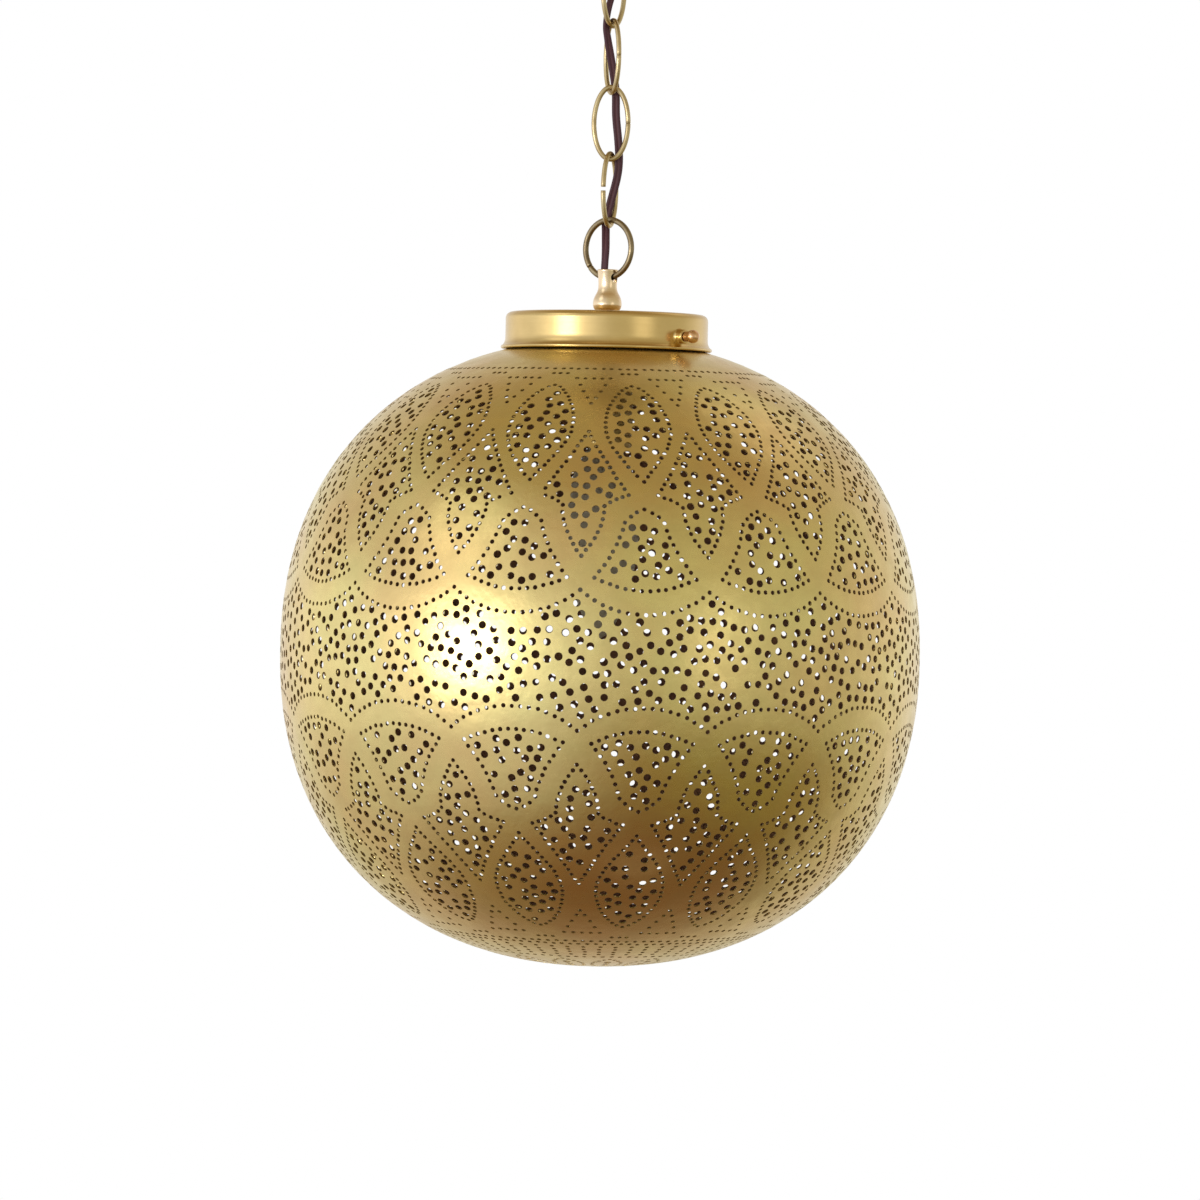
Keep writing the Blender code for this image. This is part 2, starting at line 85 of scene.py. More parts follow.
RING_CENTRE, RING_RADIUS, RING_WIRE, RING_PLANE = 190.7 * MM, 13.5 * MM, 1.39 * MM, -38
LINK_WIDE, LINK_TALL, LINK_WIRE = 8.0 * MM, 16.9 * MM, 1.175 * MM
LINK_PITCH, LOWEST_LINK = 31.15 * MM, 218.3 * MM
LINK_PLANES = (52, -68, 0, 68)
LOOP_CENTRE, LOOP_RADIUS, LOOP_WIRE, LOOP_PLANE = 334.7 * MM, 9.5 * MM, 2.0 * MM, -40
SCREW_HEIGHT = 149.0 * MM
SCREW_TURNS = (-45, 135)


def ball(height):
    """The height in the frame of a height above the ball's centre."""
    return SEAM + height


# ---- surfaces -------------------------------------------------------------------------------


def grid_faces(rows, columns, around=False):
    """The four-sided faces between the neighbouring points of a grid, closed round its columns
    where asked."""
    row = np.arange(rows - 1)[:, None]
    column = np.arange(columns if around else columns - 1)[None, :]
    after = (column + 1) % columns
    corners = (row * columns + column, row * columns + after,
               (row + 1) * columns + after, (row + 1) * columns + column)
    return np.stack(np.broadcast_arrays(*corners), axis=-1).reshape(-1, 4)


def arc(radius, centre, start, end, steps=8):
    """Points on a circle: centre + radius * (cos, sin) of an angle that runs between two angles
    in degrees."""
    turn = np.radians(np.linspace(start, end, steps + 1))
    return np.stack([centre[0] + radius * np.cos(turn), centre[1] + radius * np.sin(turn)], axis=1)


def flowing(points, steps=6):
    """A curve through points: on each stretch the cubic whose ends have half the difference of
    the neighbouring points as slope."""
    knots = np.asarray(points, float)
    ends = np.concatenate([[2 * knots[0] - knots[1]], knots, [2 * knots[-1] - knots[-2]]])
    a, b, c, d = ends[:-3, None], ends[1:-2, None], ends[2:-1, None], ends[3:, None]
    t = (np.arange(steps) / steps)[None, :, None]
    curve = 0.5 * (2 * b + (c - a) * t + (2 * a - 5 * b + 4 * c - d) * t**2
                   + (3 * b - a - 3 * c + d) * t**3)
    return np.concatenate([curve.reshape(-1, knots.shape[1]), knots[-1:]])


def revolve(profile, sides=96, swell=None):
    """A profile of (radius, height) turned about Z: x = r cos a, y = r sin a. swell(a, z) may
    scale the radius, for flutes and knurls."""
    profile = np.asarray(profile, float)
    turn = np.linspace(0, 2 * np.pi, sides, endpoint=False)[None, :]
    radius, height = profile[:, :1], profile[:, 1:]
    if swell is not None:
        radius = radius * swell(turn, height)
    points = np.stack(np.broadcast_arrays(radius * np.cos(turn), radius * np.sin(turn), height), -1)
    return points.reshape(-1, 3), grid_faces(len(profile), sides, around=True).tolist()


def carried(path, sideways, section, closed=False):
    """A section of (side, up) carried along a path: point = path + sideways * side + upright * up,
    where upright stands square to the path and to sideways. Open ends are closed by flat caps."""
    path, section = np.asarray(path, float), np.asarray(section, float)
    if closed:
        along = np.roll(path, -1, axis=0) - np.roll(path, 1, axis=0)
    else:
        along = np.gradient(path, axis=0)
    along /= np.linalg.norm(along, axis=1)[:, None]
    sideways = np.broadcast_to(sideways, path.shape)
    sideways = sideways - along * (sideways * along).sum(1)[:, None]
    sideways = sideways / np.linalg.norm(sideways, axis=1)[:, None]
    upright = np.cross(along, sideways)
    points = (path[:, None] + sideways[:, None] * section[None, :, :1]
              + upright[:, None] * section[None, :, 1:])
    count = len(section)
    faces = grid_faces(len(path), count, around=True).tolist()
    if closed:
        last = (len(path) - 1) * count
        ring = np.arange(count)
        joins = np.stack([last + ring, last + (ring + 1) % count, (ring + 1) % count, ring], axis=1)
        faces += joins.tolist()
    else:
        faces += [list(range(count)), [(len(path) - 1) * count + i for i in range(count)][::-1]]
    return points.reshape(-1, 3), faces


def circle(radius, sides=20):
    """The corners of a round section."""
    turn = np.linspace(0, 2 * np.pi, sides, endpoint=False)
    return np.stack([np.cos(turn), np.sin(turn)], axis=1) * radius


def placed(surface, matrix):
    """The same surface moved and turned by a 4 x 4 matrix."""
    points, faces = surface
    matrix = np.array(matrix)
    return points @ matrix[:3, :3].T + matrix[:3, 3], faces


def radial(degrees, height):
    """Lays +Z along a radius at this angle and height."""
    turn, zero = math.radians(degrees), 0.0
    across = (math.cos(turn), math.sin(turn), zero)
    return [[zero, -across[1], across[0], zero], [zero, across[0], across[1], zero],
            [-1.0, zero, zero, height], [zero, zero, zero, 1.0]]


def upright_plane(degrees, height):
    """Stands the XZ plane's drawing at an angle about Z, at a height on the chain's axis."""
    turn = math.radians(degrees)
    c, s = math.cos(turn), math.sin(turn)
    return [[c, -s, 0.0, 0.0], [s, c, 0.0, 0.0], [0.0, 0.0, 1.0, height], [0.0, 0.0, 0.0, 1.0]]


def add_piece(name, surfaces, finish, crease=CREASE, highlight_values=None):
    """One object from one or more surfaces, its doubled points merged and its faces outwards.
    Values given for each point are kept as a point attribute; the lead uses them for its painted
    highlight."""
    shape = bmesh.new()
    if highlight_values is not None:
        shape.verts.layers.float.new("painted_highlight")
    for number, (points, faces) in enumerate(surfaces):
        part = bmesh.new()
        mesh = bpy.data.meshes.new("part")
        mesh.from_pydata(points.tolist(), [], faces)
        if highlight_values is not None:
            mesh.attributes.new("painted_highlight", "FLOAT", "POINT").data.foreach_set("value", highlight_values[number])
        part.from_mesh(mesh)
        bmesh.ops.remove_doubles(part, verts=part.verts, dist=1e-7)
        bmesh.ops.recalc_face_normals(part, faces=part.faces)
        part.to_mesh(mesh)
        part.free()
        shape.from_mesh(mesh)
        bpy.data.meshes.remove(mesh)
    mesh = bpy.data.meshes.new(name)
    shape.to_mesh(mesh)
    shape.free()
    mesh.shade_smooth()
    mesh.set_sharp_from_angle(angle=math.radians(crease))
    mesh.materials.append(finish)
    made = bpy.data.objects.new(name, mesh)
    bpy.context.collection.objects.link(made)
    return made


def settle(piece, body, slot, *nodes):
    """The piece moves with a body and stands for CAD nodes. The slot is not used."""
    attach(piece, body)
    if nodes:
        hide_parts(*nodes)
    return piece


# ---- the ball's section and its pattern -----------------------------------------------------


class BallSection:
    """The section of the ball from its lower pole up to the neck, as tables against the distance
    along it: |r / R|^p + |z / H|^p = 1, with one H above the widest circle and one below.
    chart is the radius of the flat map that keeps small circles round: ln chart grows by the
    distance along the section divided by r."""

    def __init__(self):
        power = 2 / BALL_POWER
        turn = np.linspace(np.pi / 2, 0, SECTION_STEPS)
        low = np.stack([BALL_RADIUS * np.cos(turn) ** power, -BALL_FALL * np.sin(turn) ** power])
        low[0, 0] = 0
        last = math.acos((NECK_RADIUS / BALL_RADIUS) ** (BALL_POWER / 2))
        turn = np.linspace(0, last, SECTION_STEPS)[1:]
        high = np.stack([BALL_RADIUS * np.cos(turn) ** power, BALL_RISE * np.sin(turn) ** power])
        self.radius, self.height = np.concatenate([low, high], axis=1)
        step = np.hypot(np.diff(self.radius), np.diff(self.height))
        self.along = np.concatenate([[0], np.cumsum(step)])
        self.top = self.along[-1]
        middle = (self.radius[1:] + self.radius[:-1]) / 2
        growth = np.log(self.radius[1]) + np.concatenate([[0], np.cumsum(step[1:] / middle[1:])])
        self.chart = np.concatenate([[0], np.exp(growth - growth[-1])])
        span = np.where(self.height < 0, BALL_FALL, BALL_RISE)
        lean = (self.radius / BALL_RADIUS) ** (BALL_POWER - 1) / BALL_RADIUS
        rise = np.sign(self.height) * (np.abs(self.height) / span) ** (BALL_POWER - 1) / span
        size = np.hypot(lean, rise)
        self.normal_out, self.normal_up = lean / size, rise / size

    def at(self, along, table):
        return np.interp(along, self.along, table)

    def along_at(self, height):
        return np.interp(height, self.height, self.along)

    def place(self, along, turn, depth=0.0):
        """Points at distances along the section and turns about the axis, which are counted from
        the front towards +X, at a depth under the surface."""
        radius = self.at(along, self.radius) - depth * self.at(along, self.normal_out)
        height = self.at(along, self.height) - depth * self.at(along, self.normal_up)
        return np.stack([radius * np.sin(turn), -radius * np.cos(turn), ball(height)], axis=-1)

    def normal(self, along, turn):
        out, up = self.at(along, self.normal_out), self.at(along, self.normal_up)
        return np.stack([out * np.sin(turn), -out * np.cos(turn), up], axis=-1)


REPEATS = 16
REPEAT_TURN = 2 * math.pi / REPEATS
STAR_TURN = math.radians(-3.6)  # from the front to the axis of one star
PATTERN_EQUATOR = 2.7 * MM  # the pattern's mirror plane, above the widest circle
EDGE_ROW = 129.6 * MM  # pattern height of the row round the neck and of the one round the pole
LARGE_HOLE = 1.78 * MM  # radii of the two punches
SMALL_HOLE = 1.05 * MM
LEAST_BRIDGE = 0.42 * MM  # the least brass between two holes
FIGURE_POOL, BELT_POOL, CENTRE_POOL = 1400, 26000, 3000  # random points that scatter picks from
SECTION_STEPS = 900  # of each half of the ball's section


def quadratic(*corners, steps=14):
    """A chain of arcs through start, control, end, control, end...: (1-t)^2 a + 2t(1-t) b + t^2 c."""
    corners = np.asarray(corners, float)
    t = np.linspace(0, 1, steps + 1)[:, None]
    arcs = [(1 - t) ** 2 * corners[i] + 2 * t * (1 - t) * corners[i + 1] + t**2 * corners[i + 2]
            for i in range(0, len(corners) - 2, 2)]
    return np.concatenate(arcs) * MM


def both_sides(side):
    """A closed outline from its right half, which runs from its top to its foot."""
    left = side[::-1] * (-1, 1)
    return np.concatenate([side, left])


def leaf_outline():
    """A leaf: half its width is 14.6 cos^k of the share of the way to a tip, k = 0.62 above its
    widest height and 1.2 below it."""
    foot, wide, top = 77.7, 102.0, 121.7
    share = np.linspace(1, -1, 61)
    power = np.where(share > 0, 0.62, 1.2)
    reach = np.where(share > 0, top - wide, wide - foot)
    width = 14.6 * np.abs(np.cos(share * np.pi / 2)) ** power
    return both_sides(np.stack([width, wide + reach * share], axis=1) * MM)


def star_outline():
    """A star of three points with a tongue below: long spike, side tips, and the tongue."""
    return both_sides(quadratic(
        (0, 100.6), (9.1, 86.1), (19.8, 72.6), (14.4, 71.6), (9.2, 68.1), (9.7, 57.5), (0, 45.9)))


def bell_outline():
    """A bell: a round crown, sides that flare out to the tips and a hanging lower edge."""
    return both_sides(quadratic(
        (0, 66.5), (4.9, 65.2), (8.9, 60.6), (12.0, 48.8), (22.7, 36.4), (11, 30.8), (0, 30.8)))


def scallop_height(turn):
    """The height of the scalloped border of the belt: 20.6 + 10.2 |w|^2.3 mm, where w runs from
    0 under a bell to 1 at a cusp under a star."""
    share = (turn - STAR_TURN) / REPEAT_TURN
    share = np.abs(share - np.round(share))
    return (20.6 + 10.2 * (1 - 2 * share) ** 2.3) * MM


def pace_out(line, gap, closed=True):
    """Distances about gap apart along a line of points in space, and the points' own."""
    if closed:
        line = np.concatenate([line, line[:1]])
    far = np.concatenate([[0], np.cumsum(np.linalg.norm(np.diff(line, axis=0), axis=1))])
    count = max(2, round(far[-1] / gap))
    want = far[-1] * np.arange(count + (not closed)) / count
    return want, far


def scatter(pool, others, clear_of, apart, random):
    """Points from a random pool that stay clear of others and apart from each other. Each is the
    nearest to those before it among a random few, so that they pack evenly."""
    near = np.full(len(pool), np.inf)
    for part in np.array_split(others, max(1, len(others) // 200)):
        if len(part):
            near = np.minimum(near, np.linalg.norm(pool[:, None] - part[None], axis=2).min(1))
    keep = near > clear_of
    index, pool = np.flatnonzero(keep), pool[keep]
    near = near[keep] + apart - clear_of
    chosen = []
    while len(pool):
        few = random.integers(0, len(pool), 24)
        pick = few[near[few].argmin()]
        chosen.append(index[pick])
        gap = np.linalg.norm(pool - pool[pick], axis=1)
        near = np.minimum(near, gap)
        keep = gap > apart
        index, pool, near = index[keep], pool[keep], near[keep]
    return np.array(chosen, int)


def inside(points, outline):
    """Which flat points lie inside a closed outline, by the even-odd rule."""
    x, y = points[:, :1], points[:, 1:]
    ax, ay = outline[:, 0][None], outline[:, 1][None]
    bx, by = np.roll(outline, -1, axis=0).T[:, None]
    crossing = (ay > y) != (by > y)
    step = np.where(by == ay, 1e-12, by - ay)
    hit = crossing & (x < ax + (y - ay) * (bx - ax) / step)
    return hit.sum(1) % 2 == 1


class Piercing:
    """Collects the holes: their places along the section, their turns and their radii. A pattern
    height is counted from the pattern's equator, upwards or, on the mirrored half, downwards."""

    def __init__(self, section, random):
        self.section, self.random = section, random
        self.along, self.turn, self.radius = [], [], []

    def width_turn(self, width, height):
        """The turn that a width along a parallel spans on the upper half at a pattern height."""
        along = self.section.along_at(height + PATTERN_EQUATOR)
        return width / self.section.at(along, self.section.radius)

    def along_of(self, height, mirrored):
        return self.section.along_at(PATTERN_EQUATOR + (-height if mirrored else height))

    def add(self, along, turn, radius, jitter=0.12 * MM):
        """Adds holes, each a little off its mark as hand work is."""
        count = len(along)
        wander = self.random.normal(0, jitter, (2, count))
        reach = np.maximum(self.section.at(along, self.section.radius), 5 * MM)
        self.along.append(along + wander[0])
        self.turn.append(turn + wander[1] / reach)
        self.radius.append(radius * (1 + self.random.normal(0, 0.03, count)))

    def places(self):
        return self.section.place(np.concatenate(self.along), np.concatenate(self.turn))

    def row(self, along, count, start, radius=SMALL_HOLE):
        turn = start + 2 * np.pi * np.arange(count) / count
        self.add(np.full(count, along), turn, radius, 0.17 * MM)

    def spaced(self, along, turn, gap):
        """Places about gap apart round a closed line of places."""
        want, far = pace_out(self.section.place(along, turn), gap)
        return [np.interp(want, far, np.append(line, line[0])) for line in (along, turn)]

    def figure(self, outline, axis, mirrored, gap, clear_of, apart):
        """A row of small holes a gap apart round an outline, and large ones scattered inside it
        that stay clear of the row and apart from each other."""
        along = self.along_of(outline[:, 1], mirrored)
        turn = axis + self.width_turn(outline[:, 0], outline[:, 1])
        dots = self.spaced(along, turn, gap)
        self.add(*dots, SMALL_HOLE)
        low, high = outline.min(0), outline.max(0)
        pool = self.random.uniform(low, high, (FIGURE_POOL, 2))
        pool = pool[inside(pool, outline)]
        along = self.along_of(pool[:, 1], mirrored)
        turn = axis + self.width_turn(pool[:, 0], pool[:, 1])
        chosen = scatter(self.section.place(along, turn), self.section.place(*dots), clear_of,
                         apart, self.random)
        self.add(along[chosen], turn[chosen], LARGE_HOLE, 0)

    def triangle(self, axis, mirrored):
        """Small holes along the three sides of a triangle that points towards the belt."""
        base, foot, half, step = 125.0 * MM, 113.4 * MM, 7.5 * MM, 3.0 * MM
        across = [(half * share, base) for share in (-1, -0.5, 0, 0.5, 1)]
        down = [(half * (1 - number / 4), base - step * number) for number in (1, 2, 3)]
        up = [(-width, height) for width, height in reversed(down)]
        width, height = np.array([*across, *down, (0, foot), *up]).T
        turn = axis + self.width_turn(width, height)
        self.add(self.along_of(height, mirrored), turn, SMALL_HOLE)

    def scallops(self, mirrored):
        """Small holes along one half's border of the belt."""
        turn = STAR_TURN + np.linspace(0, REPEAT_TURN, 200)
        along = self.along_of(scallop_height(turn), mirrored)
        want, far = pace_out(self.section.place(along, turn), 4.0 * MM, closed=False)
        want = want[:-1]
        for repeat in range(REPEATS):
            spin = REPEAT_TURN * repeat
            self.add(np.interp(want, far, along), spin + np.interp(want, far, turn), SMALL_HOLE)

    def belt(self):
        """Large holes scattered between the two scalloped borders."""
        turn = self.random.uniform(0, 2 * np.pi, BELT_POOL)
        height = self.random.uniform(-1, 1, BELT_POOL) * 31 * MM
        keep = np.abs(height) < scallop_height(turn)
        turn, height = turn[keep], height[keep]
        along = self.section.along_at(PATTERN_EQUATOR + height)
        chosen = scatter(self.section.place(along, turn), self.places(), 3.6 * MM, 5.1 * MM,
                         self.random)
        self.add(along[chosen], turn[chosen], LARGE_HOLE, 0)

    def rosette(self):
        """Round the closed pole: a second row, short columns, a ring of petals and a centre."""
        edge = self.along_of(EDGE_ROW, True)
        self.row(edge - 3.3 * MM, REPEATS * 8, STAR_TURN + math.radians(1.4))
        for step in range(4):
            self.row(edge - (7.2 + 3.6 * step) * MM, REPEATS * 4, STAR_TURN)
        self.row(edge - 22.5 * MM, REPEATS * 6, STAR_TURN)
        petal = both_sides(quadratic((0, 57), (10.5, 50), (4.5, 36), (1.5, 31), (0, 29.5)))
        width, along = petal.T
        spread = width / self.section.at(along, self.section.radius)
        for number in range(REPEATS):
            axis = STAR_TURN + (number + 0.5) * REPEAT_TURN
            self.add(*self.spaced(along, axis + spread, 3.1 * MM), SMALL_HOLE, 0.05 * MM)
            self.add(np.array([49.5, 44.0, 38.8]) * MM, np.full(3, axis), LARGE_HOLE, 0.1 * MM)
        centre_row = 40
        self.row(25.5 * MM, centre_row, 0.0)
        pool = self.random.uniform(0, 1, (CENTRE_POOL, 2))
        along = 22 * MM * np.sqrt(pool[:, 0])
        turn = 2 * np.pi * pool[:, 1]
        chosen = scatter(self.section.place(along, turn), self.places()[-centre_row:], 3.4 * MM,
                         4.9 * MM, self.random)
        self.add(along[chosen], turn[chosen], LARGE_HOLE, 0)

    def half(self, mirrored):
        """The rows, figures and border of one half."""
        self.row(self.along_of(EDGE_ROW, mirrored), REPEATS * 8, STAR_TURN)
        self.scallops(mirrored)
        leaf, star, bell = leaf_outline(), star_outline(), bell_outline()
        for number in range(REPEATS):
            star_axis = STAR_TURN + number * REPEAT_TURN
            leaf_axis = star_axis + REPEAT_TURN / 2
            self.triangle(star_axis, mirrored)
            cluster = np.array([-3.2, 0, 3.2]) * MM
            height = np.full(3, 127.3 * MM)
            self.add(self.along_of(height, mirrored),
                     leaf_axis + self.width_turn(cluster, height), SMALL_HOLE)
            self.figure(leaf, leaf_axis, mirrored, 3.1 * MM, clear_of=3.6 * MM, apart=4.9 * MM)
            self.figure(star, star_axis, mirrored, 3.2 * MM, clear_of=3.5 * MM, apart=4.9 * MM)
            self.figure(bell, leaf_axis, mirrored, 3.6 * MM, clear_of=3.7 * MM, apart=5.0 * MM)

    def holes(self):
        """All the holes, without those that would break into an earlier one."""
        along, turn = np.concatenate(self.along), np.concatenate(self.turn)
        radius, place = np.concatenate(self.radius), self.places()
        keep = np.ones(len(along), bool)
        cell = np.floor(place / (4.2 * MM)).astype(int)
        names = {}
        for number, key in enumerate(map(tuple, cell.tolist())):
            names.setdefault(key, []).append(number)
        for number, (x, y, z) in enumerate(cell.tolist()):
            near = [n for i in (-1, 0, 1) for j in (-1, 0, 1) for k in (-1, 0, 1)
                    for n in names.get((x + i, y + j, z + k), ()) if n < number and keep[n]]
            if near:
                gap = np.linalg.norm(place[near] - place[number], axis=1) - radius[near]
                keep[number] = (gap > radius[number] + LEAST_BRIDGE).all()
        return along[keep], turn[keep], radius[keep]


def pierce(section, random):
    """The whole pattern: both halves, the belt between them and the rosette."""
    work = Piercing(section, random)
    work.half(False)
    work.half(True)
    work.belt()
    work.rosette()
    return work.holes()


# ---- the pierced sheet ----------------------------------------------------------------------

WALL = 0.7 * MM
NECK_SIDES = 144
LARGE_SIDES, SMALL_SIDES = 10, 8  # sides of a large and of a small hole


def hole_rims(section, along, turn, radius, sides, random):
    """Points round each hole: centre + radius * (cos, sin) along the section and the parallel,
    each hole turned at random. Rows are holes."""
    start = random.uniform(0, 2 * np.pi, len(along))[:, None]
    angle = start + 2 * np.pi * np.arange(sides)[None] / sides
    rim_along = along[:, None] + radius[:, None] * np.sin(angle)
    across = radius[:, None] * np.cos(angle)
    reach = np.maximum(section.at(rim_along, section.radius), 0.2 * MM)
    return rim_along, turn[:, None] + across / reach


def plain_points(section, rim_places, gap=6.5 * MM):
    """Points in staggered rows a gap apart, left out near the rims of holes."""
    rows = round(section.top / gap)
    found = [np.zeros((1, 2))]
    for number in range(1, rows):
        along = section.top * number / rows
        count = max(5, round(2 * np.pi * float(section.at(along, section.radius)) / gap))
        turn = 2 * np.pi * (np.arange(count) + 0.5 * (number % 2)) / count
        found.append(np.stack([np.full(count, along), turn], axis=1))
    spots = np.concatenate(found)
    cell = 3.0 * MM
    taken = set(map(tuple, np.floor(rim_places / cell).astype(int).tolist()))
    keys = np.floor(section.place(spots[:, 0], spots[:, 1]) / cell).astype(int).tolist()
    free = [not any((x + i, y + j, z + k) in taken for i in (-1, 0, 1) for j in (-1, 0, 1)
                    for k in (-1, 0, 1)) for x, y, z in keys]
    return spots[np.array(free)]


def sheet_between(section, holes, random):
    """The sheet's triangles between the holes, worked out on the round-keeping chart, and the
    points' places along the section and turns. Rims come first, then plain points, then neck."""
    along, turn, radius = holes
    large = radius > (LARGE_HOLE + SMALL_HOLE) / 2
    rims, owners, rim_sets = [], [], []
    first = 0
    for chosen, sides in ((large, LARGE_SIDES), (~large, SMALL_SIDES)):
        rim = hole_rims(section, along[chosen], turn[chosen], radius[chosen], sides, random)
        rims.append(np.stack([part.reshape(-1) for part in rim], axis=1))
        owners.append(np.repeat(np.flatnonzero(chosen), sides))
        count = int(chosen.sum())
        rim_sets.append((first + np.arange(count * sides).reshape(count, sides), chosen))
        first += count * sides
    rims = np.concatenate(rims)
    spots = plain_points(section, section.place(rims[:, 0], rims[:, 1]))
    edge_turn = 2 * np.pi * np.arange(NECK_SIDES) / NECK_SIDES
    edge = np.stack([np.full(NECK_SIDES, section.top), edge_turn], axis=1)
    every = np.concatenate([rims, spots, edge])
    owner = np.concatenate([*owners, np.full(len(spots) + len(edge), -1)])
    chart = section.at(every[:, 0], section.chart)
    flat = np.stack([chart * np.cos(every[:, 1]), chart * np.sin(every[:, 1])], axis=1)
    made = delaunay_2d_cdt([tuple(p) for p in flat.tolist()], [], [], 0, 1e-12, True)
    if len(made[0]) != len(flat):
        raise RuntimeError("two points of the pierced sheet fell on each other")
    order = np.array([ids[0] for ids in made[3]])
    faces = order[np.array(made[2])]
    owned = owner[faces]
    hollow = (owned[:, 0] >= 0) & (owned[:, 0] == owned[:, 1]) & (owned[:, 1] == owned[:, 2])
    if hollow.sum() != sum(len(rims) * (rims.shape[1] - 2) for rims, _ in rim_sets):
        raise RuntimeError("a hole of the pierced sheet is crossed by the sheet")
    return every, faces[~hollow], rim_sets


def turn_over(faces):
    """The same faces, looked at from their other side."""
    return faces[:, ::-1]


def shell_half(name, section, every, faces, rim_sets, holes, upper, finishes):
    """One half of the ball as a mesh of its own: outer and inner skins a wall apart, the walls of
    its holes, and on the upper half the neck. Normals are the section's own."""
    outer = section.place(every[:, 0], every[:, 1])
    inner = section.place(every[:, 0], every[:, 1], WALL)
    normal = section.normal(every[:, 0], every[:, 1])
    count = len(every)
    middle = outer[faces].mean(axis=1)[:, 2]
    skin = faces[(middle > SEAM) == upper]
    across = np.cross(outer[skin[:, 1]] - outer[skin[:, 0]], outer[skin[:, 2]] - outer[skin[:, 0]])
    wrong = (across * normal[skin[:, 0]]).sum(1) < 0
    skin[wrong] = turn_over(skin[wrong])
    groups = [(skin, normal[skin], 0), (turn_over(skin) + count, -normal[turn_over(skin)], 1)]
    for rims, chosen in rim_sets:
        mine = (section.at(holes[0][chosen], section.height) > 0) == upper
        rims = rims[mine]
        after = np.roll(rims, -1, axis=1)
        walls = np.stack([rims, after, after + count, rims + count], axis=2).reshape(-1, 4)
        centre = section.place(holes[0][chosen][mine], holes[1][chosen][mine])
        inward = centre[:, None] - outer[rims]
        inward /= np.linalg.norm(inward, axis=2)[:, :, None]
        inward_after = np.roll(inward, -1, axis=1)
        normals = np.stack([inward, inward_after, inward_after, inward], axis=2).reshape(-1, 4, 3)
        flat = np.cross(outer[walls[:, 1]] - outer[walls[:, 0]],
                        inner[walls[:, 3] - count] - outer[walls[:, 0]])
        wrong = (flat * normals[:, 0]).sum(1) < 0
        walls[wrong], normals[wrong] = walls[wrong][:, ::-1], normals[wrong][:, ::-1]
        groups.append((walls, normals, 0))
    points = np.concatenate([outer, inner])
    if upper:
        groups, points = with_neck(groups, points, count)
    return write_sheet(name, points, groups, finishes)


def with_neck(groups, points, count):
    """Adds the short neck: a ring of quads up the outside, over the edge and down the inside."""
    turn = 2 * np.pi * np.arange(NECK_SIDES) / NECK_SIDES
    out = np.stack([np.sin(turn), -np.cos(turn), 0 * turn], axis=1)
    rise = np.array([0.0, 0.0, 1.0])
    outside = out * NECK_RADIUS + rise * NECK_TOP
    inside_top = out * (NECK_RADIUS - WALL) + rise * NECK_TOP
    start = len(points)
    ring = np.arange(NECK_SIDES)
    levels = [count - NECK_SIDES + ring, start + ring, start + NECK_SIDES + ring,
              2 * count - NECK_SIDES + ring]
    level_normals = [out, np.broadcast_to(rise, out.shape), -out]
    for low, high, normal in zip(levels, levels[1:], level_normals):
        after = (ring + 1) % NECK_SIDES
        walls = np.stack([low, low[after], high[after], high], axis=1)
        normals = np.stack([normal, normal[after], normal[after], normal], axis=1)
        groups.append((walls, normals, 0))
    return groups, np.concatenate([points, outside, inside_top])


def write_sheet(name, points, groups, finishes):
    """Puts the faces, their finishes and their corner normals into one mesh."""
    used = np.unique(np.concatenate([group[0].reshape(-1) for group in groups]))
    index = np.full(len(points), -1)
    index[used] = np.arange(len(used))
    sizes = np.concatenate([np.full(len(faces), faces.shape[1]) for faces, _, _ in groups])
    corners = np.concatenate([index[faces].reshape(-1) for faces, _, _ in groups])
    normals = np.concatenate([normals.reshape(-1, 3) for _, normals, _ in groups])
    finish = np.concatenate([np.full(len(faces), slot) for faces, _, slot in groups])
    mesh = bpy.data.meshes.new(name)
    mesh.vertices.add(len(used))
    mesh.vertices.foreach_set("co", points[used].astype(np.float32).reshape(-1))
    mesh.loops.add(len(corners))
    mesh.loops.foreach_set("vertex_index", corners.astype(np.int32))
    mesh.polygons.add(len(sizes))
    starts = np.concatenate([[0], np.cumsum(sizes)[:-1]])
    mesh.polygons.foreach_set("loop_start", starts.astype(np.int32))
    mesh.update(calc_edges=True)
    for each in finishes:
        mesh.materials.append(each)
    mesh.polygons.foreach_set("material_index", finish.astype(np.int32))
    mesh.validate()
    mesh.shade_smooth()
    if len(mesh.loops) != len(normals):
        raise RuntimeError(f"{name} lost faces while it was put together")
    mesh.normals_split_custom_set(normals.tolist())
    made = bpy.data.objects.new(name, mesh)
    bpy.context.collection.objects.link(made)
    return made


# ---- finishes -------------------------------------------------------------------------------


def new_node(tree, kind, **inputs):
    """A node with values on the inputs named, an underscore standing for a space."""
    node = tree.nodes.new(kind)
    for name, value in inputs.items():
        node.inputs[name.replace("_", " ")].default_value = value
    return node


def build_group(name, inputs, outputs):
    """An empty node group with named inputs and outputs."""
    group = bpy.data.node_groups.new(name, "ShaderNodeTree")
    for label, kind, value in inputs:
        made = group.interface.new_socket(name=label, in_out="INPUT", socket_type=kind)
        if value is not None:
            made.default_value = value
    for label, kind in outputs:
        group.interface.new_socket(name=label, in_out="OUTPUT", socket_type=kind)
    return group, group.nodes.new("NodeGroupInput"), group.nodes.new("NodeGroupOutput")


def maths(tree, operation, first, second=None):
    """A Math node on links or numbers; returns its output."""
    node = tree.nodes.new("ShaderNodeMath")
    node.operation = operation
    for place, value in enumerate((first, second)):
        if isinstance(value, (int, float)):
            node.inputs[place].default_value = value
        elif value is not None:
            tree.links.new(value, node.inputs[place])
    return node.outputs[0]


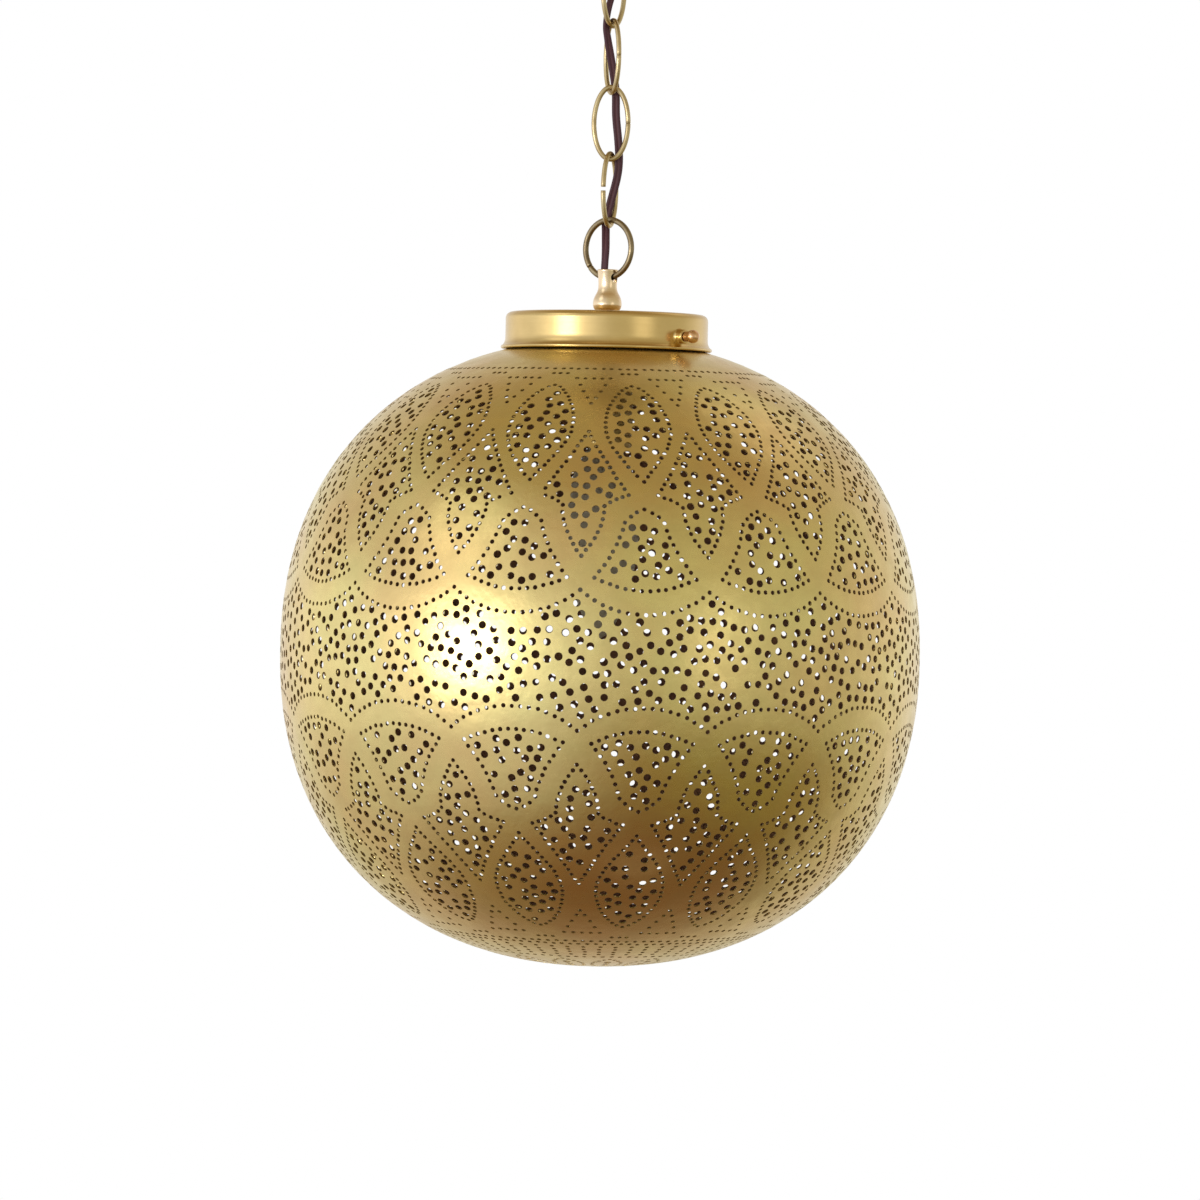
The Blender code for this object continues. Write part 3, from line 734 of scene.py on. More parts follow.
def lathe_group():
    """Lathe_Lines: the fine rings that spinning and polishing leave. The noise is read at
    (distance from Z, height), so it is even round each turn."""
    group, given, out = build_group(
        "Lathe_Lines",
        [("Vector", "NodeSocketVector", None), ("Lines per metre", "NodeSocketFloat", 900.0)],
        [("Lines", "NodeSocketFloat")])
    split = new_node(group, "ShaderNodeSeparateXYZ")
    group.links.new(given.outputs["Vector"], split.inputs[0])
    square_x = maths(group, "MULTIPLY", split.outputs["X"], split.outputs["X"])
    square_y = maths(group, "MULTIPLY", split.outputs["Y"], split.outputs["Y"])
    reach = maths(group, "SQRT", maths(group, "ADD", square_x, square_y))
    joined = new_node(group, "ShaderNodeCombineXYZ")
    group.links.new(reach, joined.inputs["X"])
    group.links.new(split.outputs["Z"], joined.inputs["Y"])
    noise = new_node(group, "ShaderNodeTexNoise", Detail=3.0, Roughness=0.65)
    group.links.new(joined.outputs[0], noise.inputs["Vector"])
    group.links.new(given.outputs["Lines per metre"], noise.inputs["Scale"])
    group.links.new(noise.outputs["Fac"], out.inputs["Lines"])


def mottle_group():
    """Mottle: soft blotches between 0 and 1, of a given size in metres, with finer ones in them."""
    group, given, out = build_group(
        "Mottle",
        [("Vector", "NodeSocketVector", None), ("Size", "NodeSocketFloat", 0.02),
         ("Sharpness", "NodeSocketFloat", 1.6)],
        [("Mask", "NodeSocketFloat")])
    scale = maths(group, "DIVIDE", 1.0, given.outputs["Size"])
    noise = new_node(group, "ShaderNodeTexNoise", Detail=4.0, Roughness=0.55)
    group.links.new(given.outputs["Vector"], noise.inputs["Vector"])
    group.links.new(scale, noise.inputs["Scale"])
    centred = maths(group, "SUBTRACT", noise.outputs["Fac"], 0.5)
    stretched = maths(group, "MULTIPLY", centred, given.outputs["Sharpness"])
    mask = maths(group, "ADD", stretched, 0.5)
    group.nodes[-1].use_clamp = True
    group.links.new(mask, out.inputs["Mask"])


def use_group(tree, name, coordinates, **values):
    """A group read at these coordinates; returns its output."""
    node = tree.nodes.new("ShaderNodeGroup")
    node.node_tree = bpy.data.node_groups[name]
    tree.links.new(coordinates, node.inputs["Vector"])
    for label, value in values.items():
        node.inputs[label.replace("_", " ")].default_value = value
    return node.outputs[0]


def blend_colours(tree, mask, first, second):
    """The first colour where the mask is 0, the second where it is 1. Each is three numbers or
    another node's output."""
    mix = tree.nodes.new("ShaderNodeMix")
    mix.data_type = "RGBA"
    for name, colour in (("A", first), ("B", second)):
        if isinstance(colour, tuple):
            mix.inputs[name].default_value = (*colour, 1)
        else:
            tree.links.new(colour, mix.inputs[name])
    tree.links.new(mask, mix.inputs["Factor"])
    return mix.outputs["Result"]


def stretch(tree, value, low, high):
    """A value between 0 and 1 as one between low and high."""
    node = new_node(tree, "ShaderNodeMapRange", To_Min=low, To_Max=high)
    tree.links.new(value, node.inputs["Value"])
    return node.outputs["Result"]


def new_finish(name, roughness=0.4, metallic=0.0, colour=(0.5, 0.5, 0.5)):
    """A new material with its shader and the coordinates that its masks are read at."""
    made = bpy.data.materials.new(name)
    if made.name != name:
        raise RuntimeError(f"another material is already called {name}")
    made.use_nodes = True
    tree = made.node_tree
    shader = tree.nodes["Principled BSDF"]
    shader.inputs["Metallic"].default_value = metallic
    shader.inputs["Roughness"].default_value = roughness
    shader.inputs["Base Color"].default_value = (*colour, 1)
    made.diffuse_color = (*colour, 1)
    place = tree.nodes.new("ShaderNodeTexCoord").outputs["Object"]
    return made, tree, shader, place


def add_relief(tree, shader, parts, distance):
    """Bump from the weighted sum of heights between 0 and 1."""
    total = None
    for height, weight in parts:
        scaled = maths(tree, "MULTIPLY", height, weight)
        total = scaled if total is None else maths(tree, "ADD", total, scaled)
    bump = new_node(tree, "ShaderNodeBump", Strength=1.0, Distance=distance)
    tree.links.new(total, bump.inputs["Height"])
    tree.links.new(bump.outputs["Normal"], shader.inputs["Normal"])


def brass(name, bright, dull, roughness, lines, line_depth, blotch, dents=0.0, dent_size=0.03):
    """Brass in two tones that drift into each other, with lathe lines in its gloss and relief."""
    made, tree, shader, place = new_finish(name, metallic=1.0, colour=bright)
    mask = use_group(tree, "Mottle", place, Size=blotch, Sharpness=2.2)
    rings = use_group(tree, "Lathe_Lines", place, Lines_per_metre=lines)
    tone = maths(tree, "ADD", maths(tree, "MULTIPLY", mask, 0.75),
                 maths(tree, "MULTIPLY", rings, 0.25))
    tree.links.new(blend_colours(tree, tone, bright, dull), shader.inputs["Base Color"])
    grain = use_group(tree, "Mottle", place, Size=0.0009, Sharpness=2.0)
    gloss = maths(tree, "ADD", maths(tree, "MULTIPLY", rings, 0.4),
                  maths(tree, "MULTIPLY", mask, 0.35))
    gloss = maths(tree, "ADD", gloss, maths(tree, "MULTIPLY", grain, 0.25))
    tree.links.new(stretch(tree, gloss, *roughness), shader.inputs["Roughness"])
    waves = use_group(tree, "Mottle", place, Size=dent_size, Sharpness=1.0)
    add_relief(tree, shader, [(rings, line_depth / MM), (grain, 0.002), (waves, dents / MM)], MM)
    return made


def shade_brass(settings):
    """Aged brass: greenish gold that drifts into orange brown, dulled in small blotches and
    faint streaks round the axis, over soft hammer waves."""
    made, tree, shader, place = new_finish("satin_aged_brass", metallic=1.0,
                                           colour=tuple(settings.bright_brass))
    drift = use_group(tree, "Mottle", place, Size=0.050, Sharpness=3.2)
    small = use_group(tree, "Mottle", place, Size=0.010, Sharpness=2.6)
    rings = use_group(tree, "Lathe_Lines", place, Lines_per_metre=260.0)
    grain = use_group(tree, "Mottle", place, Size=0.0009, Sharpness=2.0)
    tone = blend_colours(tree, drift, tuple(settings.bright_brass), tuple(settings.dull_brass))
    wear = maths(tree, "ADD", maths(tree, "MULTIPLY", small, 0.45),
                 maths(tree, "MULTIPLY", rings, 0.3))
    wear = maths(tree, "ADD", wear, maths(tree, "MULTIPLY", grain, 0.25))
    shadow = stretch(tree, wear, 1.0, 0.78)
    dulled = tree.nodes.new("ShaderNodeVectorMath")
    dulled.operation = "SCALE"
    tree.links.new(tone, dulled.inputs[0])
    tree.links.new(shadow, dulled.inputs["Scale"])
    tree.links.new(dulled.outputs[0], shader.inputs["Base Color"])
    tree.links.new(stretch(tree, wear, 0.20, 0.36), shader.inputs["Roughness"])
    waves = use_group(tree, "Mottle", place, Size=0.026, Sharpness=1.0)
    add_relief(tree, shader, [(rings, 0.010), (small, 0.015), (grain, 0.002), (waves, 0.46)], MM)
    return made


def tarnished_inside():
    """The unpolished brown inside of the ball."""
    made, tree, shader, place = new_finish("tarnished_inside", 0.75, 0.0, (0.05, 0.03, 0.02))
    mask = use_group(tree, "Mottle", place, Size=0.012, Sharpness=2.5)
    colour = blend_colours(tree, mask, (0.11, 0.045, 0.026), (0.26, 0.13, 0.055))
    tree.links.new(colour, shader.inputs["Base Color"])
    tree.links.new(stretch(tree, mask, 0.6, 0.9), shader.inputs["Roughness"])
    return made


def plain_metal(name, colour, dull, roughness, blotch):
    """Metal in two tones that follow each other in small blotches."""
    made, tree, shader, place = new_finish(name, metallic=1.0, colour=colour)
    mask = use_group(tree, "Mottle", place, Size=blotch, Sharpness=2.4)
    tree.links.new(blend_colours(tree, mask, colour, dull), shader.inputs["Base Color"])
    tree.links.new(stretch(tree, mask, *roughness), shader.inputs["Roughness"])
    add_relief(tree, shader, [(mask, 0.006)], MM)
    return made


def plain_stuff(name, colour, darker, roughness, grain, relief):
    """A matt or glossy plastic, card or ceramic with a fine grain."""
    made, tree, shader, place = new_finish(name, metallic=0.0, colour=colour)
    mask = use_group(tree, "Mottle", place, Size=grain, Sharpness=2.0)
    tree.links.new(blend_colours(tree, mask, colour, darker), shader.inputs["Base Color"])
    tree.links.new(stretch(tree, mask, *roughness), shader.inputs["Roughness"])
    add_relief(tree, shader, [(mask, relief / MM)], MM)
    return made


def lead_plastic():
    """Brown plastic with a painted highlight: paler along the groove between the two cores, where a
    point attribute marks it, and darker towards the edges.
    """
    made, tree, shader, place = new_finish("brown_twin_lead", 0.35, 0.0, (0.09, 0.035, 0.03))
    painted_highlight = tree.nodes.new("ShaderNodeAttribute")
    painted_highlight.attribute_name = "painted_highlight"
    mask = use_group(tree, "Mottle", place, Size=0.004, Sharpness=1.5)
    # the painted highlight, with a little grain, lifts the colour from dark brown to paler pinkish
    # brown along the middle of each face
    highlight_and_grain = maths(tree, "ADD", maths(tree, "MULTIPLY", painted_highlight.outputs["Fac"], 0.8),
                 maths(tree, "MULTIPLY", mask, 0.2))
    colour = blend_colours(tree, highlight_and_grain, (0.050, 0.013, 0.020), (0.12, 0.045, 0.05))
    tree.links.new(colour, shader.inputs["Base Color"])
    tree.links.new(stretch(tree, mask, 0.42, 0.55), shader.inputs["Roughness"])
    shader.inputs["Specular IOR Level"].default_value = 0.3
    add_relief(tree, shader, [(mask, 0.02)], MM)
    return made


def frosted_glass():
    """Frosted glass that lets little light through. Its dull warm yellow is partly painted shade and
    painted warm light from the brass round the bulb.
    """
    made, tree, shader, place = new_finish("frosted_candle_glass", 0.5, 0.0, (0.54, 0.47, 0.31))
    mask = use_group(tree, "Mottle", place, Size=0.003, Sharpness=1.4)
    tree.links.new(stretch(tree, mask, 0.42, 0.55), shader.inputs["Roughness"])
    shader.inputs["Transmission Weight"].default_value = 0.2
    shader.inputs["IOR"].default_value = 1.45
    add_relief(tree, shader, [(mask, 0.01)], MM)
    return made


def make_finishes(settings):
    """Every finish by its name."""
    lathe_group()
    mottle_group()
    shade_brass(settings)
    tarnished_inside()
    brass("brushed_cap_brass", (0.74, 0.54, 0.235), (0.54, 0.37, 0.14), (0.17, 0.30), 1500.0,
          0.008 * MM, 0.03, dents=0.05 * MM)
    brass("satin_hanger_brass", (0.90, 0.72, 0.48), (0.74, 0.54, 0.33), (0.13, 0.24), 2500.0,
          0.006 * MM, 0.01)
    brass("coppery_screw_brass", (0.80, 0.51, 0.29), (0.60, 0.34, 0.17), (0.18, 0.32), 2500.0,
          0.005 * MM, 0.008)
    brass("spun_canopy_brass", (0.62, 0.48, 0.25), (0.42, 0.31, 0.14), (0.25, 0.42), 1100.0,
          0.006 * MM, 0.02, dents=0.04 * MM)
    brass("lamp_holder_brass", (0.70, 0.52, 0.22), (0.5, 0.36, 0.14), (0.25, 0.42), 2000.0,
          0.004 * MM, 0.01)
    plain_metal("antique_link_brass", (0.60, 0.48, 0.27), (0.44, 0.33, 0.17), (0.26, 0.40), 0.008)
    plain_metal("dark_ring_brass", (0.33, 0.26, 0.15), (0.20, 0.145, 0.085), (0.28, 0.42), 0.006)
    plain_metal("plated_steel", (0.62, 0.62, 0.60), (0.45, 0.45, 0.44), (0.25, 0.45), 0.004)
    plain_stuff("green_lacquer", (0.07, 0.30, 0.12), (0.04, 0.2, 0.08), (0.3, 0.5), 0.002,
                0.01 * MM)
    plain_stuff("brown_card", (0.30, 0.19, 0.11), (0.20, 0.12, 0.07), (0.8, 0.95), 0.0015,
                0.05 * MM)
    plain_stuff("white_ceramic", (0.80, 0.78, 0.72), (0.66, 0.63, 0.56), (0.25, 0.5), 0.003,
                0.02 * MM)
    lead_plastic()
    frosted_glass()


def finish_named(name):
    """A finish that make_finishes has made."""
    return bpy.data.materials[name]


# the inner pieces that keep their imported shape, and their finishes
KEPT_NODES = {
    "plated_steel": ("crossbar", "box_screw_1", "box_screw_2", "canopy_nipple", "crossbar_locknut",
                     "cap_stem", "cap_washer", "cap_locknut", "bulb_tip_contact"),
    "lamp_holder_brass": ("screw_shell", "centre_contact", "terminal_screw_1", "terminal_screw_2"),
    "green_lacquer": ("earth_screw",),
    "brown_card": ("socket_liner",),
    "white_ceramic": ("socket_core",),
}


def dress_kept_nodes():
    """Gives the kept pieces their finishes."""
    for finish, names in KEPT_NODES.items():
        for name in names:
            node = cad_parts[name]
            node.data.materials.clear()
            node.data.materials.append(finish_named(finish))


# ---- pieces ---------------------------------------------------------------------------------


def build_shade(settings):
    """The pierced ball's two halves, cut from one sheet."""
    random = np.random.default_rng(settings.seed)
    section = BallSection()
    holes = pierce(section, random)
    every, faces, rim_sets = sheet_between(section, holes, random)
    finishes = [finish_named("satin_aged_brass"), finish_named("tarnished_inside")]
    for name, upper, node in (("pierced_upper_half", True, "shade_upper_half"),
                              ("pierced_lower_half", False, "shade_lower_half")):
        half = shell_half(name, section, every, faces, rim_sets, holes, upper, finishes)
        settle(half, "shade", "shade_brass", node)


def build_cap():
    """The spun cap: a flat top, a rounded corner, a straight side, and a rolled lip. Two short
    bosses take the thumb screws."""
    radius, sheet, corner = 47.5 * MM, 0.8 * MM, 3 * MM
    lip_half, lip_out, foot = 0.85 * MM, 2.1 * MM, ball(142.9 * MM)
    middle = (radius - corner, CAP_TOP - corner)
    lip = (radius + lip_out - lip_half, foot + lip_half)
    hole = 5.4 * MM
    outer = np.concatenate([
        [(hole, CAP_TOP - 0.15 * MM), (hole + 0.2 * MM, CAP_TOP)],
        [(r * MM, CAP_TOP - 0.06 * MM * math.sin(r)) for r in range(8, 43, 3)],
        arc(corner, middle, 90, 0, 10),
        [(radius, lip[1] + 5 * MM), (radius + 0.1 * MM, lip[1] + 3.4 * MM),
         (radius + 0.45 * MM, lip[1] + 2.2 * MM), (radius + 0.95 * MM, lip[1] + 1.3 * MM)],
        arc(lip_half, lip, 75, -90, 12),
        [(radius - sheet, foot), (radius - sheet, lip[1] + lip_half)],
        arc(corner - sheet, middle, 0, 90, 8),
        [(hole, CAP_TOP - sheet), (hole, CAP_TOP - 0.15 * MM)],
    ])
    surfaces = [revolve(outer, 160)]
    for turn in SCREW_TURNS:
        wall, end, wide = radius - sheet / 2, 51.6 * MM, 3.3 * MM
        boss = np.concatenate([
            [(2.3 * MM, wall), (wide + 0.6 * MM, wall + 0.3 * MM), (wide + 0.2 * MM, wall + 0.8 * MM),
             (wide, wall + 1.3 * MM)],
            arc(0.7 * MM, (wide - 0.7 * MM, end - 0.7 * MM), 0, 90, 5),
            [(2.3 * MM, end), (2.3 * MM, wall)],
        ])
        surfaces.append(placed(revolve(boss, 40), radial(turn, ball(SCREW_HEIGHT))))
    cap = add_piece("spun_fitter_cap", surfaces, finish_named("brushed_cap_brass"))
    settle(cap, "lantern", "cap_brass", "fitter_cap")


def build_thumb_screws():
    """Each has a threaded end, a short plain neck and a round bead to turn it by."""
    seat, bead = 51.9 * MM, 3.1 * MM
    for letter, turn, node in (("a", SCREW_TURNS[0], "thumb_screw_1"),
                               ("b", SCREW_TURNS[1], "thumb_screw_2")):
        tip = NECK_RADIUS + 0.3 * MM
        crests = np.arange(0, seat - tip - 1.4 * MM, 0.35 * MM)
        thread = [(1.95 * MM - 0.22 * MM * (i % 2), tip + 0.5 * MM + step)
                  for i, step in enumerate(crests)]
        profile = np.concatenate([
            [(0, tip), (1.5 * MM, tip)], thread,
            [(1.9 * MM, seat - 0.1 * MM), (1.9 * MM, seat), (2.2 * MM, seat + 0.05 * MM),
             (2.4 * MM, seat + 0.3 * MM), (2.4 * MM, seat + 2.0 * MM)],
            arc(bead, (0, seat + 4.3 * MM), -38, 84, 22),
            [(0, seat + 4.3 * MM + bead)],
        ])
        screw = add_piece(f"bead_thumb_screw_{letter}",
                          [placed(revolve(profile, 48), radial(turn, ball(SCREW_HEIGHT)))],
                          finish_named("coppery_screw_brass"))
        settle(screw, f"thumb_screw_{letter}", "hanger_brass", node)


def build_hanger():
    """A turned vase: a foot, a full belly and a slim neck that widens a little to its top, drilled
    across for the ring and along for the lead."""
    outside = flowing([
        (5.6, 160.5), (5.7, 160.8), (5.7, 161.3), (5.55, 161.6), (5.75, 161.9), (6.3, 162.6),
        (6.75, 164.0), (6.75, 165.4), (6.45, 167.0), (5.85, 168.5), (5.1, 169.9), (4.6, 171.2),
        (4.38, 172.6), (4.36, 174.4), (4.5, 176.6), (4.74, 178.8), (4.95, 180.3)], 5)
    edge = arc(0.4, (4.55, 180.5), 0, 90, 4)
    inside_line = [(4.0, 180.9), (4.0, 168.6), (5.3, 168.0), (5.3, 160.5), (5.55, 160.5)]
    profile = np.concatenate([outside, edge, inside_line]) * MM
    profile[:, 1] += SEAM
    body = add_piece("turned_hanger", [revolve(profile, 96)], finish_named("satin_hanger_brass"))
    drill = np.array([(0, -12), (2.5, -12), (2.5, 12), (0, 12)]) * MM
    drill_place = radial(RING_PLANE, ball(RING_CENTRE - RING_RADIUS))
    cutter = add_piece("drill", [placed(revolve(drill, 40), drill_place)],
                       finish_named("satin_hanger_brass"))
    cut = body.modifiers.new("Cross_hole", "BOOLEAN")
    cut.operation, cut.solver, cut.object = "DIFFERENCE", "EXACT", cutter
    graph = bpy.context.evaluated_depsgraph_get()
    finished = bpy.data.meshes.new_from_object(body.evaluated_get(graph))
    body.modifiers.clear()
    body.data = finished
    finished.set_sharp_from_angle(angle=math.radians(CREASE))
    bpy.data.objects.remove(cutter)
    settle(body, "lantern", "hanger_brass", "hanger")


def oval_path(half_width, half_height, gap_at, gap, steps):
    """An oval in the XZ plane, open by a gap: (a cos t, 0, b sin t)."""
    away = math.radians(gap_at)
    spread = gap / 2 / math.hypot(half_width * math.sin(away), half_height * math.cos(away))
    turn = np.linspace(away + spread, away + 2 * math.pi - spread, steps)
    return np.stack([half_width * np.cos(turn), 0 * turn, half_height * np.sin(turn)], axis=1)


def bent_wire(path, wire, sides=20):
    """A round wire along a path in the XZ plane, its cut ends slightly rounded."""
    points, faces = carried(path, (0, 1, 0), circle(wire, sides))
    rows = points.reshape(-1, sides, 3)
    for end, inwards in ((0, 1), (-1, -2)):
        middle = rows[end].mean(0)
        rows[end] = middle + (rows[end] - middle) * 0.86
        step = rows[inwards].mean(0) - middle
        rows[inwards] = rows[inwards] - step + step * min(1.0, 0.2 * MM / np.linalg.norm(step))
    return rows.reshape(-1, 3), faces


def build_ring():
    """The split ring that joins the lowest link to the hanger."""
    path = oval_path(RING_RADIUS, RING_RADIUS, 218, 0.4 * MM, 140)
    ring = placed(bent_wire(path, RING_WIRE, 24), upright_plane(RING_PLANE, ball(RING_CENTRE)))
    made = add_piece("split_ring", [ring], finish_named("dark_ring_brass"), crease=50)
    settle(made, "ring", "ring_brass", "hanging_ring")


def build_chain():
    """Oval links of round wire, each butted at the middle of one side. The lowest link's ends
    stand a little apart."""
    for number, plane in enumerate(LINK_PLANES):
        side, gap = (180, 1.7 * MM) if number == 3 else (0, 0.06 * MM)
        centre = LOWEST_LINK + LINK_PITCH * (len(LINK_PLANES) - 1 - number)
        path = oval_path(LINK_WIDE, LINK_TALL, side, gap, 120)
        link = placed(bent_wire(path, LINK_WIRE), upright_plane(plane, ball(centre)))
        made = add_piece(f"oval_link_{number + 1}", [link], finish_named("antique_link_brass"),
                         crease=50)
        settle(made, f"link_{number + 1}", "chain_brass", f"chain_link_{number + 1}")


def build_canopy():
    """A shallow spun dome: a rolled rim, a short straight side, a bead and a sphere's cap. The
    cast loop hangs under it by a knurled collar."""
    radius, sheet, deep = 62.5 * MM, 0.8 * MM, 30 * MM
    rim, hole = 3 * MM, 6.5 * MM
    dome = deep - rim
    sphere = (radius**2 + dome**2) / (2 * dome)
    turn = np.linspace(math.asin(0.985 * radius / sphere), math.asin(hole / sphere), 40)
    curve = np.stack([sphere * np.sin(turn), -rim - dome + sphere - sphere * np.cos(turn)], axis=1)
    inner_curve = curve[::-1] + (0, sheet)
    profile = np.concatenate([
        [(radius - sheet, -0.3 * MM), (radius, -0.3 * MM), (radius, -rim + 0.8 * MM)],
        arc(0.7 * MM, (radius - 0.7 * MM, -rim + 0.3 * MM), 0, -70, 6),
        curve, inner_curve, [(radius - sheet, -rim), (radius - sheet, -0.3 * MM)]])
    canopy = add_piece("spun_canopy", [revolve(profile, 160)], finish_named("spun_canopy_brass"))
    settle(canopy, "ceiling", "chain_brass", "canopy")

    top = -deep - 0.6 * MM
    edge = 0.5 * MM
    nut = np.concatenate([
        [(6.4 * MM, top), (10.2 * MM, top)],
        [(11 * MM, top - 0.9 * MM), (11 * MM, top - 2.5 * MM), (11 * MM, top - 4.1 * MM)],
        [(10.2 * MM, top - 5 * MM), (6.4 * MM + edge, top - 5 * MM), (6.4 * MM, top - 4.6 * MM),
         (6.4 * MM, top)]])

    def knurl(angle, height):
        ridge = np.maximum(0, np.cos(angle * 40)) * 0.03 - 0.03
        return 1 + ridge * (np.abs(height - (top - 2.5 * MM)) < 1.7 * MM)

    collar = add_piece("knurled_collar", [revolve(nut, 320, knurl)],
                       finish_named("spun_canopy_brass"), crease=30)
    settle(collar, "ceiling", "chain_brass", "collar_nut")
    build_loop()


def build_loop():
    """The cast loop: a round ring that grows out of a bored stem through a soft fillet."""
    centre = ball(LOOP_CENTRE)
    path = oval_path(LOOP_RADIUS, LOOP_RADIUS, 90, 0.0, 97)[:-1]
    ring = placed(carried(path, (0, 1, 0), circle(LOOP_WIRE), closed=True),
                  upright_plane(LOOP_PLANE, centre))
    foot, top = centre + LOOP_RADIUS - 3.0 * MM, -24 * MM
    stem = np.concatenate([
        [(2.5 * MM, foot + 1.2 * MM), (3.4 * MM, foot), (4.6 * MM, foot + 0.7 * MM),
         (5.6 * MM, foot + 2.2 * MM), (6 * MM, foot + 4.2 * MM), (6 * MM, top - 0.5 * MM),
         (5.6 * MM, top), (5.35 * MM, top), (5.35 * MM, -34 * MM), (2.5 * MM, -35 * MM),
         (2.5 * MM, foot + 1.2 * MM)]])
    loop = add_piece("cast_loop", [ring, revolve(stem, 64)], finish_named("spun_canopy_brass"))
    settle(loop, "ceiling", "chain_brass", "canopy_loop")


def build_holder():
    """The lamp holder: a domed cap and a shell with a bead round its top and its foot."""
    wall = 0.6 * MM
    low, high = ball(131 * MM), ball(153.4 * MM)
    outer = flowing(np.array([
        (14.0, 131.2), (14.0, 133.0), (14.0, 136.8), (13.7, 138.6), (12.3, 141.5), (9.9, 144.3),
        (7.9, 146.2), (7.4, 148.0), (7.4, 152.0)]) * MM + (0, SEAM), 5)
    inner = outer[::-1] - (wall, 0)
    cap = np.concatenate([
        [(5.3 * MM, high), (7.0 * MM, high), (7.4 * MM, high - 0.4 * MM)], outer[::-1],
        [(14.0 * MM - wall, low)], inner[::-1], [(5.3 * MM, ball(147 * MM)), (5.3 * MM, high)]])
    cap_piece = add_piece("holder_cap", [revolve(cap, 80)], finish_named("lamp_holder_brass"))
    settle(cap_piece, "lantern", "holder_brass", "socket_cap")

    radius = 13.1 * MM
    top, foot = ball(137 * MM), ball(97 * MM)
    shell = np.concatenate([
        [(radius - wall, top), (radius, top), (radius, ball(129 * MM))],
        arc(0.45 * MM, (radius, ball(128 * MM)), 90, -90, 6),
        [(radius, ball(126 * MM)), (radius, ball(104 * MM))],
        arc(0.45 * MM, (radius, ball(103 * MM)), 90, -90, 6),
        [(radius, foot + 1.0 * MM)],
        arc(0.8 * MM, (radius - 0.8 * MM, foot + 0.8 * MM), 0, -90, 5),
        [(10.6 * MM, foot), (10.6 * MM, foot + wall), (radius - 1.0 * MM, foot + wall),
         (radius - wall, foot + 1.2 * MM), (radius - wall, top)]])
    shell_piece = add_piece("holder_shell", [revolve(shell, 80)], finish_named("lamp_holder_brass"))
    settle(shell_piece, "lantern", "holder_brass", "socket_shell")


def build_bulb():
    """A frosted candle bulb on a screw base: r = r0 + 0.3 sin(turn - 2 pi z / pitch) mm."""
    base, wall, pitch = 6.6 * MM, 0.4 * MM, 3.0 * MM
    top, foot = ball(118.4 * MM), ball(102.3 * MM)

    def thread(angle, height):
        run = np.clip((height - foot - 1.5 * MM) / MM, 0, 1)
        run = run * np.clip((top - 4 * MM - height) / MM, 0, 1)
        return 1 + 0.045 * run * np.sin(angle - 2 * np.pi * height / pitch)

    heights = np.linspace(foot, top - 3 * MM, 80)
    side = np.stack([np.full(80, base), heights], axis=1)
    profile = np.concatenate([
        [(base - wall, foot)], side,
        [(5.2 * MM, top - 1.2 * MM), (4.2 * MM, top), (1.9 * MM, top), (1.9 * MM, top - 0.6 * MM),
         (4.0 * MM, top - 0.6 * MM), (base - wall, top - 3.4 * MM), (base - wall, foot)]])
    screw = add_piece("threaded_base", [revolve(profile, 64, thread)],
                      finish_named("plated_steel"), crease=60)
    settle(screw, "bulb", "zinc_steel", "bulb_base")

    bulge, low_tip = 66.0, 8.0
    upper = flowing([(6.0, 112), (6.0, 103), (7.2, 98.5), (8.8, 95.2), (12.2, 89.0), (15.2, 81.5),
                     (17.0, 73.5), (17.5, 66)], 6)
    turn = np.radians(np.linspace(0, -90, 40))[1:]
    lower = np.stack([17.5 * np.maximum(np.cos(turn), 0) ** 1.25,
                      bulge + (bulge - low_tip) * np.sin(turn)], axis=1)
    outer = np.concatenate([upper, lower]) * MM + (0, SEAM)
    inner = outer[::-1] - (0.9 * MM, 0)
    inner[:, 0] = np.maximum(inner[:, 0], 0)
    inner[0, 1] += 0.9 * MM
    inner[inner[:, 1] < outer[:, 1].min() + 0.9 * MM, 1] = outer[:, 1].min() + 0.9 * MM
    profile = np.concatenate([outer, inner, outer[:1]])
    glass = add_piece("candle_glass", [revolve(profile, 72)],
                      finish_named("frosted_candle_glass"), crease=70)
    settle(glass, "bulb", "frosted_glass", "bulb_glass")


# ---- the lead -------------------------------------------------------------------------------

# (x, y, height above the ball's centre), millimetres, from the lamp holder up to the nipple
LEAD_ROUTE = (
    (0, 0, 136), (0, 0, 148), (0, 0, 160), (-0.5, -0.6, 167), (-1.62, -2.09, 174.5),
    (-1.66, -2.13, 180), (-1.3, -0.6, 190), (-1.4, 3.2, 198.5), (-1.4, 4.5, 203.5),
    (0.4, 4.0, 212), (3.3, 3.0, 224), (4.1, 2.75, 232), (3.6, 2.8, 241), (2.3, 2.9, 253),
    (1.9, 2.8, 264), (0.6, 2.3, 273), (-2.2, 0.9, 288), (-3.2, 0.5, 296), (-1.6, 0.5, 306),
    (2.4, 0.9, 318), (4.2, 1.1, 326), (3.0, 0.9, 332.5), (0.5, 0.1, 340), (0, 0, 348),
    (0, 0, 360), (0, 0, 381),
)
LEAD_BREAKS = (187, 218.5, 249.5, 280.5, 311.5)
# (height, turn of the lead's wide side in degrees from +X)
LEAD_TURNS = ((136, -38), (185, -38), (199, 0), (225, 0), (250, 0), (280, 10), (296, 52),
              (311, 52), (326, 50), (345, 50), (381, 50))
LEAD_WIDE, LEAD_THICK = 3.8 * MM, 1.9 * MM


def lead_section(sides=28):
    """Two round cores side by side with a web between them: half the thickness is that of a
    core's circle, and no less than the web's."""
    turn = np.linspace(0, 2 * np.pi, sides, endpoint=False)
    core = LEAD_THICK / 2
    side = LEAD_WIDE / 2 * np.cos(turn)
    within = np.sqrt(np.maximum(core**2 - (np.abs(side) - core) ** 2, 0))
    web = 0.55 * core * np.minimum(1, np.abs(np.sin(turn)) * 3)
    up = np.sign(np.sin(turn)) * np.maximum(within, web)
    up[np.abs(np.sin(turn)) < 1e-6] = 0
    return np.stack([side, up], axis=1)


